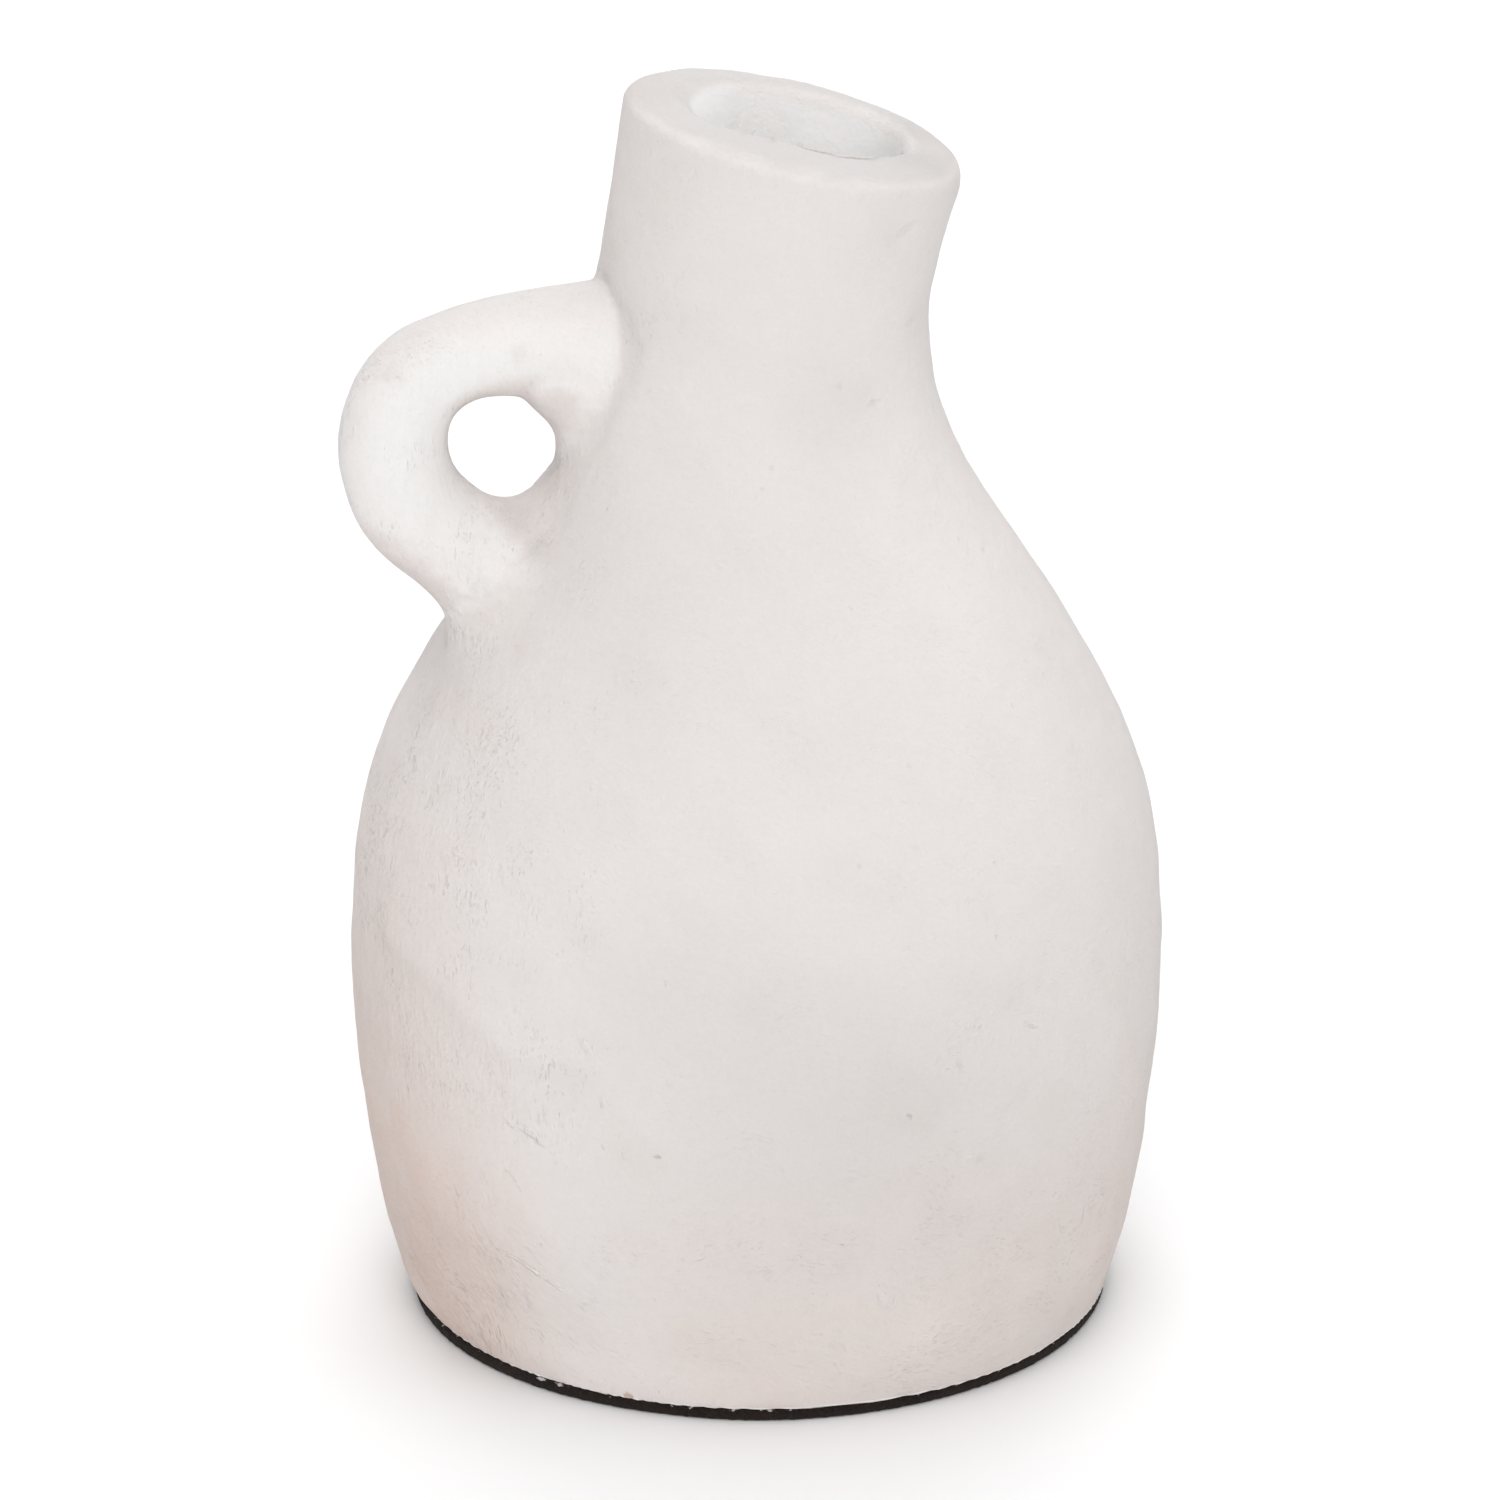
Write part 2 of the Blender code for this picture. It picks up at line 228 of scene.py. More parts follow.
def body(p):
    """The pot's clay without its surface relief: negative inside the clay, in mm."""
    x, y, z = p[:, 0], p[:, 1], p[:, 2]
    mx, my = level(MIDDLE_X, z), level(MIDDLE_Y, z)
    dx, dy = x - mx, y - my
    wall = (np.hypot(dx, dy) - level(R_OUT, z)) / level(SLOPE_OUT, z)
    back = (x - PRESSED[0]) * AHEAD[0] + (y - PRESSED[1]) * AHEAD[1]
    wall += PRESSED_DEPTH * np.exp(-((z - PRESSED[2]) / 8.0) ** 2 - (back / 15.0) ** 2) * (x < 0)
    u, v = dx * ALONG[0] + dy * ALONG[1], dx * ACROSS[0] + dy * ACROSS[1]
    around = np.arctan2(v, u)
    rim = (z + RIM_FALL * (x * ALONG[0] + y * ALONG[1]) - RIM_HEIGHT) / math.hypot(1, RIM_FALL)
    # the lip is rounded most at its low right side and least at its high left one
    lip = 3.98 + 1.75 * np.cos(around) + 0.78 * np.cos(2 * around) - 0.2 * np.sin(around)
    shell = round_and(wall, rim, lip)
    # the clay of the roots was smoothed well into the corners of the hole, and only lightly on the outside
    out_of_hole, through = from_eye(p)
    fillet = 1.7 + 5.3 * smoothstep((190.0 - z) / 18.0)
    fillet = fillet + (EYE_FILLET - fillet) * smoothstep((15.0 - out_of_hole) / 13.5) * smoothstep((30.0 - np.abs(through)) / 12.0)
    shell = round_or(shell, loop_distance(p), fillet)
    near = np.abs(out_of_hole) < 14.0
    if near.any():
        q = p[near] - np.array(LOOP_EYE)
        thumb = np.sqrt((q @ EYE_SIDE - CORNER[0]) ** 2 + (q @ EYE_UP - CORNER[1]) ** 2 + (0.6 * through[near]) ** 2) - CORNER[2]
        shell[near] = round_or(shell[near], thumb, 5.0)
    shell = np.where(np.abs(through) < 30.0, round_and(shell, -out_of_hole, 1.4), shell)
    shell = round_and(shell, FOOT - z, 0.7)
    t = smoothstep((z - MOUTH_FROM) / (RIM_HEIGHT - MOUTH_FROM))
    hollow_v = (v - t * MOUTH_SHIFT) / (1 - t * (1 - MOUTH_SQUEEZE))
    hollow = (np.hypot(u - t * MOUTH_ASIDE, hollow_v) - level(R_IN, z)) / level(SLOPE_IN, z)
    # the bore's left and back slope in like a dish, over the clay that was pushed in behind the loop's upper root
    hollow += DISH * smoothstep((-np.cos(around + 0.7) - 0.12) / 0.85) * smoothstep((-rim - 0.5) / 12.0) * smoothstep((48.0 + rim) / 32.0)
    hollow = round_and(hollow, FLOOR - z, 5.0)
    # the mouth's edge is tight at the front and the right, and eased into the bore at the back and the left
    return round_and(shell, -hollow, LIP_INNER + 1.0 * np.sin(around) + 3.8 * smoothstep((-np.cos(around) - 0.2) / 0.8))


# the ends of the white on the loop's roots: through two pixels of the frame each, white on their left
def edge_of_white(x0, y0, x1, y1):
    a, b, c, d = (x0 - 503.5) * 0.196, (446.5 - y0) * 0.196, (x1 - x0) * 0.196, (y0 - y1) * 0.196
    return a, b, d / math.hypot(c, d), -c / math.hypot(c, d)


UPPER_END = (edge_of_white(622, 386, 556, 468),)
LOWER_ENDS = (edge_of_white(484, 494, 538, 574), edge_of_white(538, 574, 466, 610))


def paint(p, facing):
    """How white the wash is (about 1) and how far it is tinted towards the warm clay (0 to 1): the wash's own tone,
    with painted shade and painted highlights added.
    """
    x, y, z = p[:, 0], p[:, 1], p[:, 2]
    dx, dy = x - level(MIDDLE_X, z), y - level(MIDDLE_Y, z)
    rho = np.hypot(dx, dy)
    outer = level(R_OUT, z)
    u, v = dx * ALONG[0] + dy * ALONG[1], dx * ACROSS[0] + dy * ACROSS[1]
    t = smoothstep((z - MOUTH_FROM) / (RIM_HEIGHT - MOUTH_FROM))
    hollow = np.hypot(u - t * MOUTH_ASIDE, (v - t * MOUTH_SHIFT) / (1 - t * (1 - MOUTH_SQUEEZE))) - level(R_IN, z)
    rim = z + RIM_FALL * (x * ALONG[0] + y * ALONG[1]) - RIM_HEIGHT
    side = (dx * RIGHT[0] + dy * RIGHT[1]) / np.maximum(outer, 1.0)
    ragged = 0.9 * tiny(p) + 0.7 * small(p)
    # the loop was dipped well and stayed white, up to a crisp edge on the neck and a feathered one on the shoulder
    q = p - np.array(LOOP_EYE)
    across, upward = q @ EYE_SIDE, q @ EYE_UP
    reach = np.interp(z, (170.0, 181.0, 184.0, 188.0, 191.0, 197.0, 203.0), (6.0, 12.0, 11.0, 6.5, 3.8, 1.2, 0.7))
    loop = smoothstep((reach + 0.35 - loop_distance(p) + 0.15 * ragged) / (0.6 + 0.2 * reach)) * (z > 120) * (x < 0)

    def kept(ends, feather):
        k = np.ones(len(p))
        for a0, b0, na, nb in ends:
            inside = (across - a0) * na + (upward - b0) * nb
            k *= smoothstep((0.5 * feather + inside + 0.35 * ragged) / feather)
        return k

    lower = smoothstep((-7.5 - upward) / 3.0)
    loop *= (1 - lower) * np.where(across > 0, kept(UPPER_END, 3.4), 1.0) + lower * kept(LOWER_ENDS, 4.4)
    bore = smoothstep((2.6 - hollow) / 1.8) * smoothstep((0.3 - rim) / 1.2)
    crown = smoothstep((rim + 1.8) / 1.4) * (1 - bore)
    # painted light on the loop: its front and back faces are painted lighter (painted highlight), its top a little
    # darker and its underside darker and warmer (painted shade)
    top, under = smoothstep((facing[:, 2] - 0.45) / 0.5), smoothstep((-facing[:, 2] - 0.25) / 0.50)
    white = 0.987 + (0.058 + 0.080 * facing[:, 1] ** 2 - 0.060 * top - 0.12 * under) * loop
    # painted light and shade at the mouth: the bore is painted much whiter to lift the shade inside it, most at its
    # left end and least where it faces up, and the rim's top face is painted darker, a painted shade
    turned = smoothstep((facing[:, 2] - 0.08) / 0.6)
    inmost = smoothstep((-u - 6.0) / 14.0)
    white += (0.30 + 0.05 * inmost - (0.25 - 0.10 * inmost) * turned) * bore - (0.090 + 0.030 * smoothstep(u / 25.0)) * crown
    wall = (rho - outer) / level(SLOPE_OUT, z)
    front = smoothstep(-(v / np.maximum(outer, 1.0)) / 0.5)
    # painted highlight: a light band along the front of the lip's outer edge
    white += 0.038 * smoothstep((wall + 2.6) / 1.2) * smoothstep((rim + 3.4) / 1.6) * front * (1 - bore) * (1.0 + 0.3 * small(p))
    # painted light: lighter low down by the foot, for light coming up from below
    white += 0.066 * smoothstep((20.0 - z) / 15.0) * smoothstep((0.35 - side) / 0.6)
    # painted shade: darker where the lower belly turns to face down
    white -= 0.022 * np.exp(-((z - 38.0) / 19.0) ** 2) * smoothstep((side + 0.6) / 0.6)
    # painted highlight: lighter on the right of the neck and shoulder
    white += 0.062 * smoothstep((side - 0.25) / 0.6) * np.exp(-((z - 180.0) / 28.0) ** 2)
    white -= 0.021 * np.exp(-((z - 70.0) / 32.0) ** 2) * smoothstep((side + 0.75) / 0.3)
    white += 0.020 * smoothstep((-side - 0.30) / 0.35) * smoothstep((z - 20.0) / 30.0) * smoothstep((175.0 - z) / 20.0) * (1 - loop)
    # darker and lighter patches: the wash's own uneven tone, with painted shade in the dents and beside the loop and a
    # painted highlight on the right
    for at, size, much in TONE_AND_SHADE_PATCHES:
        away = p - at
        white += much * np.exp(-np.einsum("ij,ij->i", away, away) / (2 * size * size))
    # painted shade along the groove at the loop's upper root
    d, _ = to_trail(p, ROOT_LINE)
    white -= 0.040 * np.exp(-(d / 2.6) ** 2) * (1 - loop)
    # painted warm shade: warmer low down and towards the left and right edges, where less light falls; the middling and
    # broad waves are the wash's own uneven tone
    low = smoothstep((88.0 - z) / 80.0)
    left = smoothstep((-side - (0.50 - 0.12 * smoothstep((78.0 - z) / 50.0))) / 0.50)
    right = smoothstep((side - 0.62) / 0.42)
    warm = low * (0.10 + 0.13 * smoothstep((side + 0.55) / 0.9)) + left * (0.09 + 0.44 * smoothstep((140.0 - z) / 110.0))
    warm += right * (0.05 + 0.11 * smoothstep((120.0 - z) / 110.0))
    warm += 0.05 * smoothstep((middling(p) - 0.3) / 1.5) + 0.045 * broad(p) * low
    # darker and warmer just below the lap
    d, above = to_trail(p, LAP)
    below = smoothstep(0.5 - above / 3.4) * np.exp(-(d / 8.0) ** 2)
    white -= 0.022 * below
    warm += 0.055 * below
    warm *= 1 - 0.85 * np.maximum(loop, bore)
    # painted warm shade on the loop's underside
    warm += 0.27 * under * loop * smoothstep((206.0 - z) / 20.0)
    return white, np.clip(warm, 0.0, 1.0)


def in_blocks(f, p, size=60000):
    return np.concatenate([f(p[i:i + size]) for i in range(0, len(p), size)])


def seen_at(x, y, skin=body):
    """The point of the clay that the eye sees at a pixel of the frame."""
    d = sight(x, y)
    t = 1180.0
    for _ in range(200):
        step = float(skin((EYE + d * t)[None])[0])
        t += max(step, -2.0) * 0.8
        if abs(step) < 0.01:
            break
        if t > 1900:
            raise ValueError(f"nothing is seen at {x}, {y}")
    return EYE + d * t


# ------------------------------------------------------------------------------------------------------ surface relief

rng = np.random.default_rng(71)


def waves(length, count, seed, squash=(1.0, 1.0, 1.0)):
    """A smooth random field of unit strength whose bumps are about length mm across."""
    g = np.random.default_rng(seed)
    k = g.normal(size=(count, 3))
    k /= np.linalg.norm(k, axis=1)[:, None]
    k *= (2 * math.pi / length) * g.uniform(0.7, 1.35, size=(count, 1)) * np.asarray(squash)
    ph = g.uniform(0, 2 * math.pi, count)

    def value(p):
        return np.cos(p @ k.T + ph).sum(1) * math.sqrt(2.0 / count)

    return value


broad = waves(58.0, 20, 11)
middling = waves(21.0, 24, 12, (1.0, 1.0, 1.25))
small = waves(8.5, 30, 13, (0.8, 0.8, 1.3))
tiny = waves(4.2, 32, 14)
scratchy = waves(2.9, 34, 15)


def spot(x, y, size, depth):
    return seen_at(x, y), size, depth


def trail(*points):
    return np.array([seen_at(x, y) for x, y in points])


def to_trail(p, line):
    """Distance to a polyline and the side of it (up positive), for the points p."""
    best = np.full(len(p), 1e9)
    side = np.zeros(len(p))
    for a, b in zip(line[:-1], line[1:]):
        ab = b - a
        t = np.clip(((p - a) @ ab) / (ab @ ab), 0, 1)
        away = p - a - t[:, None] * ab
        d = np.sqrt(np.einsum("ij,ij->i", away, away))
        closer = d < best
        best[closer] = d[closer]
        side[closer] = away[closer, 2]
    return best, side


# finger dents, thumb marks and small lumps: where they are seen, how wide (mm) and how high (mm)
SPOTS = [
    spot(903, 232, 3.2, -0.85), spot(918, 220, 2.4, 0.35), spot(922, 322, 5.0, -0.75), spot(908, 352, 4.0, 0.18),
    spot(840, 408, 7.5, -0.60), spot(851, 449, 2.2, 0.25), spot(872, 402, 1.3, -0.25), spot(862, 300, 9.0, -0.28),
    spot(745, 330, 11.0, 0.25), spot(676, 300, 8.0, -0.25), spot(700, 210, 7.0, 0.22),
    spot(510, 830, 10.0, -0.40), spot(640, 990, 12.0, -0.38), spot(923, 1331, 5.0, -0.35), spot(984, 552, 3.0, -0.22),
    spot(1026, 588, 3.2, -0.22), spot(606, 480, 5.0, -0.40), spot(560, 700, 10.0, -0.28), spot(700, 560, 12.0, 0.22),
    spot(1060, 760, 12.0, 0.24), spot(1080, 980, 12.0, -0.22), spot(600, 1180, 10.0, 0.26), spot(760, 1120, 13.0, -0.24),
    spot(470, 1120, 9.0, -0.30), spot(880, 1200, 12.0, 0.22), spot(977, 1161, 1.6, 0.22), spot(430, 860, 7.0, 0.25),
    spot(516, 330, 6.5, 0.12), spot(440, 345, 5.0, -0.12), spot(392, 520, 6.0, 0.10), spot(903, 122, 8.0, 0.45),
    spot(944, 152, 4.0, 0.30), spot(740, 77, 10.0, -0.28),
    spot(600, 432, 3.0, -0.45), spot(500, 560, 5.0, 0.40), spot(545, 520, 4.0, -0.35), spot(785, 141, 1.3, 0.55),
    spot(797, 144, 1.0, 0.40), spot(772, 139, 1.0, 0.30), spot(520, 590, 3.5, 0.22), spot(459, 560, 3.0, 0.25),
]
# where a lap of clay was smoothed down: a low step along a soft crease
LAP = trail((388, 940), (401, 954), (425, 978), (450, 1003), (474, 1030), (499, 1052), (520, 1060), (541, 1064), (568, 1065))
LAP_TWO = trail((405, 1088), (432, 1110), (470, 1150), (500, 1196))
RIDGE = trail((497, 1243), (520, 1262), (546, 1281), (567, 1294))
ROOT_LINE = trail((603, 282), (624, 318), (634, 352), (626, 386), (606, 416), (596, 440))
SMEAR = trail((450, 588), (478, 596), (504, 594), (528, 570), (548, 540))
# where the wash dried a little darker or lighter, with painted shade and a painted highlight among them: the dark
# patches in the dents, beside the loop and at the left edge are painted shade, the light one on the right of the
# shoulder a painted highlight
TONE_AND_SHADE_PATCHES = [spot(850, 400, 9.0, -0.022), spot(836, 440, 6.0, -0.016), spot(868, 396, 4.0, -0.014), spot(510, 832, 8.5, -0.028), spot(895, 143, 4.5, -0.10), spot(578, 300, 8.0, -0.030), spot(432, 565, 9.0, -0.022), spot(375, 1000, 8.0, -0.016), spot(470, 850, 7.0, 0.014),
           spot(640, 990, 9.0, -0.024), spot(745, 1010, 13.0, -0.028), spot(923, 1331, 4.5, 0.034), spot(905, 232, 5.0, -0.020),
           spot(590, 470, 7.0, -0.030), spot(640, 330, 7.0, -0.030), spot(600, 570, 15.0, -0.044), spot(600, 700, 14.0, -0.028),
           spot(930, 610, 14.0, 0.014), spot(760, 470, 9.0, 0.016), spot(700, 1160, 14.0, -0.008), spot(1000, 1200, 15.0, -0.020), spot(850, 1150, 17.0, -0.050),
           spot(960, 1050, 16.0, -0.032), spot(720, 1060, 14.0, -0.012), spot(915, 158, 6.0, -0.05),
           spot(560, 1090, 13.0, 0.018), spot(880, 1090, 13.0, -0.012), spot(560, 560, 8.0, -0.03), spot(500, 1215, 9.0, 0.012)]
ROUGH = [spot(516, 528, 6.0, 1.0), spot(548, 556, 6.0, 0.7), spot(486, 575, 5.0, 0.8), spot(984, 552, 4.0, 0.8),
         spot(1026, 588, 4.0, 0.7), spot(840, 390, 6.0, 0.5), spot(787, 141, 2.6, 1.0), spot(560, 300, 6.0, 0.3),
         spot(700, 1290, 10.0, 0.3), spot(450, 1230, 9.0, 0.5)]


def relief(p):
    """How far the finished surface stands off the plain one, in mm."""
    h = 0.30 * broad(p) + 0.10 * middling(p) + 0.035 * small(p)
    for at, size, high in SPOTS:
        away = p - at
        h += high * np.exp(-np.einsum("ij,ij->i", away, away) / (2 * size * size))
    d, side = to_trail(p, LAP)
    h += 0.36 * np.tanh(side / 1.9) * np.exp(-(d / 5.0) ** 2)
    d, side = to_trail(p, LAP_TWO)
    h += 0.10 * np.tanh(side / 1.2) * np.exp(-(d / 4.0) ** 2)
    d, side = to_trail(p, RIDGE)
    h += 0.16 * np.exp(-(d / 1.7) ** 2)
    d, side = to_trail(p, ROOT_LINE)
    h -= 0.34 * np.exp(-(d / 1.9) ** 2)
    d, side = to_trail(p, SMEAR)
    h += 0.30 * np.exp(-(d / 1.3) ** 2) * (0.6 + 0.4 * np.sin(p[:, 0] * 0.9))
    rough = np.full(len(p), 0.05)
    for at, size, strength in ROUGH:
        away = p - at
        rough += strength * np.exp(-np.einsum("ij,ij->i", away, away) / (2 * size * size))
    h += np.minimum(rough, 1.0) * (0.10 * tiny(p) + 0.06 * scratchy(p))
    # nothing shows on the flat of the foot, and little deep inside
    return h * smoothstep((p[:, 2] - 2.4) / 2.2)


def clay(p):
    return body(p) - relief(p)


def gradient(f, p, e):
    """Central differences from the four corners of a tetrahedron."""
    g = np.zeros_like(p)
    for corner in ((1, -1, -1), (-1, -1, 1), (-1, 1, -1), (1, 1, 1)):
        c = np.array(corner, float)
        g += c * in_blocks(f, p + c * e)[:, None]
    return g / (4 * e)


# ------------------------------------------------------------------------------------------------------------- meshing

def surface_net(f, low, high, h):
    """Vertices and quads of the surface f = 0 over a grid of cells of side h."""
    n = np.ceil((high - low) / h).astype(int) + 1
    axes = [low[i] + h * np.arange(n[i]) for i in range(3)]
    values = np.empty(n)
    for i, x in enumerate(axes[0]):
        yy, zz = np.meshgrid(axes[1], axes[2], indexing="ij")
        pts = np.stack([np.full(yy.size, x), yy.ravel(), zz.ravel()], -1)
        values[i] = f(pts).reshape(n[1], n[2])
    cells = n - 1
    sums = np.zeros((int(np.prod(cells)), 3))
    count = np.zeros(len(sums))
    quads = []
    for a in range(3):
        b, c = (a + 1) % 3, (a + 2) % 3
        lo = [slice(None)] * 3
        hi = [slice(None)] * 3
        lo[a], hi[a] = slice(0, -1), slice(1, None)
        f0, f1 = values[tuple(lo)], values[tuple(hi)]
        crossing = (f0 < 0) != (f1 < 0)
        at = np.argwhere(crossing)
        v0, v1 = f0[crossing], f1[crossing]
        where = at.astype(float)
        where[:, a] += v0 / (v0 - v1)
        ring = []
        for ob, oc in ((0, 0), (-1, 0), (-1, -1), (0, -1)):
            q = at.copy()
            q[:, b] += ob
            q[:, c] += oc
            flat = (q[:, 0] * cells[1] + q[:, 1]) * cells[2] + q[:, 2]
            ring.append(flat)
            for i in range(3):
                sums[:, i] += np.bincount(flat, where[:, i], len(sums))
            count += np.bincount(flat, minlength=len(sums))
        ring = np.stack(ring, -1)
        back = v0 >= 0
        ring[back] = ring[back][:, ::-1]
        quads.append(ring)
    quads = np.concatenate(quads)
    used = count > 0
    number = np.full(len(sums), -1)
    number[used] = np.arange(used.sum())
    verts = low + h * (sums[used] / count[used][:, None])
    return verts, number[quads]


def settle(f, p, rounds, e=0.2, most=0.8):
    """Moves points onto f = 0 along its gradient."""
    for _ in range(rounds):
        g = gradient(f, p, e)
        size = np.maximum(np.einsum("ij,ij->i", g, g), 0.05)
        step = -(in_blocks(f, p) / size)[:, None] * g
        length = np.linalg.norm(step, axis=1)
        step *= np.minimum(1.0, most / np.maximum(length, 1e-9))[:, None]
        p = p + step
    return p


def relax(p, quads, amount):
    """Evens out the mesh: every vertex goes part of the way to the middle of its neighbours."""
    edges = np.concatenate([quads[:, [i, (i + 1) % 4]] for i in range(4)])
    total = np.zeros_like(p)
    for i in range(3):
        total[:, i] = np.bincount(edges[:, 0], p[edges[:, 1], i], len(p)) + np.bincount(edges[:, 1], p[edges[:, 0], i], len(p))
    count = np.bincount(edges[:, 0], minlength=len(p)) + np.bincount(edges[:, 1], minlength=len(p))
    return p + amount * (total / count[:, None] - p)


def keep_in_box(p, margin=0.05, soft=0.35):
    """Eases points that stand proud of the CAD box back inside it."""
    q = p.copy()
    for i in range(3):
        top = HIGH[i] - margin - q[:, i]
        near = top < soft
        q[near, i] = HIGH[i] - margin - soft * np.exp(np.minimum((top[near] - soft) / soft, 0.0))
        if i < 2:
            low = q[:, i] - (LOW[i] + margin)
            near = low < soft
            q[near, i] = LOW[i] + margin + soft * np.exp(np.minimum((low[near] - soft) / soft, 0.0))
    return q


def new_mesh(name, verts_mm, faces):
    mesh = bpy.data.meshes.new(name)
    sides = faces.shape[1]
    mesh.vertices.add(len(verts_mm))
    mesh.vertices.foreach_set("co", (verts_mm / 1000.0).astype(np.float32).ravel())
    mesh.loops.add(faces.size)
    mesh.loops.foreach_set("vertex_index", faces.astype(np.int32).ravel())
    mesh.polygons.add(len(faces))
    mesh.polygons.foreach_set("loop_start", np.arange(0, faces.size, sides, dtype=np.int32))
    mesh.polygons.foreach_set("use_smooth", np.ones(len(faces), dtype=bool))
    mesh.update(calc_edges=True)
    mesh.validate()
    obj = bpy.data.objects.new(name, mesh)
    bpy.context.scene.collection.objects.link(obj)
    return obj


def inner_depth(p):
    """1 where a vertex may be thinned out: deep in the hollow or under the foot, falling to 0 on what is seen."""
    z = p[:, 2]
    dx, dy = p[:, 0] - level(MIDDLE_X, z), p[:, 1] - level(MIDDLE_Y, z)
    inside = np.hypot(dx, dy) < (level(R_OUT, z) + level(R_IN, z)) / 2
    rim = (z + RIM_FALL * (p[:, 0] * ALONG[0] + p[:, 1] * ALONG[1]) - RIM_HEIGHT)
    deep = inside * smoothstep((-rim - 14.0) / 12.0)
    under = (z < FOOT + 0.05) & (np.hypot(dx, dy) < 69.0)
    return np.maximum(deep, under * 1.0)


def build_clay():
    pad = 3.0 * VOXEL
    low = np.array([-83.0, -82.0, FOOT - 0.3]) - pad
    high = np.array([82.0, 82.0, 252.0]) + pad
    verts, quads = surface_net(body, low, high, VOXEL)
    verts = settle(body, verts, 2)
    for _ in range(3):
        verts = settle(body, relax(verts, quads, 0.45), 1)
    verts = settle(clay, verts, 2)
    obj = new_mesh("limewashed_clay", verts, quads)
    # the hollow and the underside carry fewer faces
    group = obj.vertex_groups.new(name="thin")
    weight = inner_depth(verts)
    for i in np.nonzero(weight > 0.02)[0]:
        group.add([int(i)], float(weight[i]), "REPLACE")
    thin = obj.modifiers.new("thin", "DECIMATE")
    thin.vertex_group = "thin"
    thin.vertex_group_factor = 1.0
    share = float((weight > 0.9).mean())
    thin.ratio = 1.0 - 0.86 * share
    depsgraph = bpy.context.evaluated_depsgraph_get()
    done = bpy.data.meshes.new_from_object(obj.evaluated_get(depsgraph))
    old = obj.data
    obj.modifiers.clear()
    obj.data = done
    obj.vertex_groups.clear()
    bpy.data.meshes.remove(old)
    done.name = "limewashed_clay"
    # the faces' corners take the exact normals of the modelled surface
    p = np.empty(len(done.vertices) * 3, np.float32)
    done.vertices.foreach_get("co", p)
    p = p.reshape(-1, 3).astype(float) * 1000.0
    p = settle(clay, p, 1)
    normals = gradient(clay, p, 0.3)
    normals /= np.maximum(np.linalg.norm(normals, axis=1), 1e-9)[:, None]
    p = keep_in_box(p)
    done.vertices.foreach_set("co", (p / 1000.0).astype(np.float32).ravel())
    done.polygons.foreach_set("use_smooth", np.ones(len(done.polygons), dtype=bool))
    done.normals_split_custom_set_from_vertices([tuple(map(float, n)) for n in normals])
    for name, values in zip(("wash_and_light", "warmth"), paint(p, normals)):
        kept = done.attributes.new(name, "FLOAT", "POINT")
        kept.data.foreach_set("value", values.astype(np.float32))
    done.update()
    print("clay:", len(done.vertices), "vertices,", sum(len(q.vertices) - 2 for q in done.polygons), "triangles")
    return obj


def build_pad():
    """A disc of felt, cut by hand: its edge wavers, its corners are soft and its side bulges a little under the pot."""
    around = 900
    turn = np.linspace(0, 2 * math.pi, around, endpoint=False)
    g = np.random.default_rng(5)

    def ring_noise(lowest, highest, power):
        out = np.zeros(around)
        for k in range(lowest, highest):
            out += g.normal() * np.cos(k * turn + g.uniform(0, 2 * math.pi)) / k ** power
        return out / out.std()

    # profile from the middle of the top, over the edge, to the middle of the underside: radius, height, looseness
    profile = [(0.4, PAD_TOP, 0.0), (20, PAD_TOP, 0.0), (40, PAD_TOP, 0.0), (58, PAD_TOP, 0.1), (66, PAD_TOP, 0.2),
               (69.0, PAD_TOP - 0.01, 0.5), (70.0, PAD_TOP - 0.06, 0.8), (70.42, PAD_TOP - 0.2, 1.0),
               (70.62, 2.05, 1.0), (70.70, 1.75, 1.0), (70.72, 1.45, 1.0), (70.70, 1.0, 1.0), (70.60, 0.6, 1.0),
               (70.40, 0.28, 1.0), (70.0, 0.10, 0.9), (69.2, 0.02, 0.6), (67, 0.0, 0.3), (62, 0.0, 0.1), (50, 0.0, 0.0),
               (30, 0.0, 0.0), (12, 0.0, 0.0), (0.4, 0.0, 0.0)]
    cut = 0.10 * ring_noise(3, 14, 0.7) - 0.12
    verts = []
    for r, z, loose in profile:
        fibre = ring_noise(60, 260, 0.15) * 0.045 if loose > 0.3 else np.zeros(around)
        rr = r + loose * (cut + fibre)
        zz = z + (0.03 * ring_noise(40, 200, 0.2) * loose if 0.2 < z < 2.6 else 0.0)
        verts.append(np.stack([rr * np.cos(turn) + PAD_ASIDE * RIGHT[0], rr * np.sin(turn) + PAD_ASIDE * RIGHT[1],
                               np.full(around, 0.0) + zz], -1))
    count = len(profile)
    # the disc is centred under the foot, which stands a little off the axis
    verts = np.concatenate(verts)
    i = np.arange(around)
    j = (i + 1) % around
    faces = []
    for k in range(count - 1):
        faces.append(np.stack([k * around + i, (k + 1) * around + i, (k + 1) * around + j, k * around + j], -1))
    quads = np.concatenate(faces)
    mesh = bpy.data.meshes.new("felt_pad")
    top = len(verts)
    verts = np.concatenate([verts, [[PAD_ASIDE * RIGHT[0], PAD_ASIDE * RIGHT[1], z] for z in (PAD_TOP, 0.0)]])
    tris = [(top, int(a), int(b)) for a, b in zip(i, j)]
    last = (count - 1) * around
    tris += [(top + 1, int(last + b), int(last + a)) for a, b in zip(i, j)]
    mesh.from_pydata([tuple(v) for v in verts / 1000.0], [], [tuple(map(int, q)) for q in quads] + tris)
    mesh.polygons.foreach_set("use_smooth", np.ones(len(mesh.polygons), dtype=bool))
    mesh.update()
    obj = bpy.data.objects.new("felt_pad", mesh)
    bpy.context.scene.collection.objects.link(obj)
    return obj


# ----------------------------------------------------------------------------------------------------------- materials

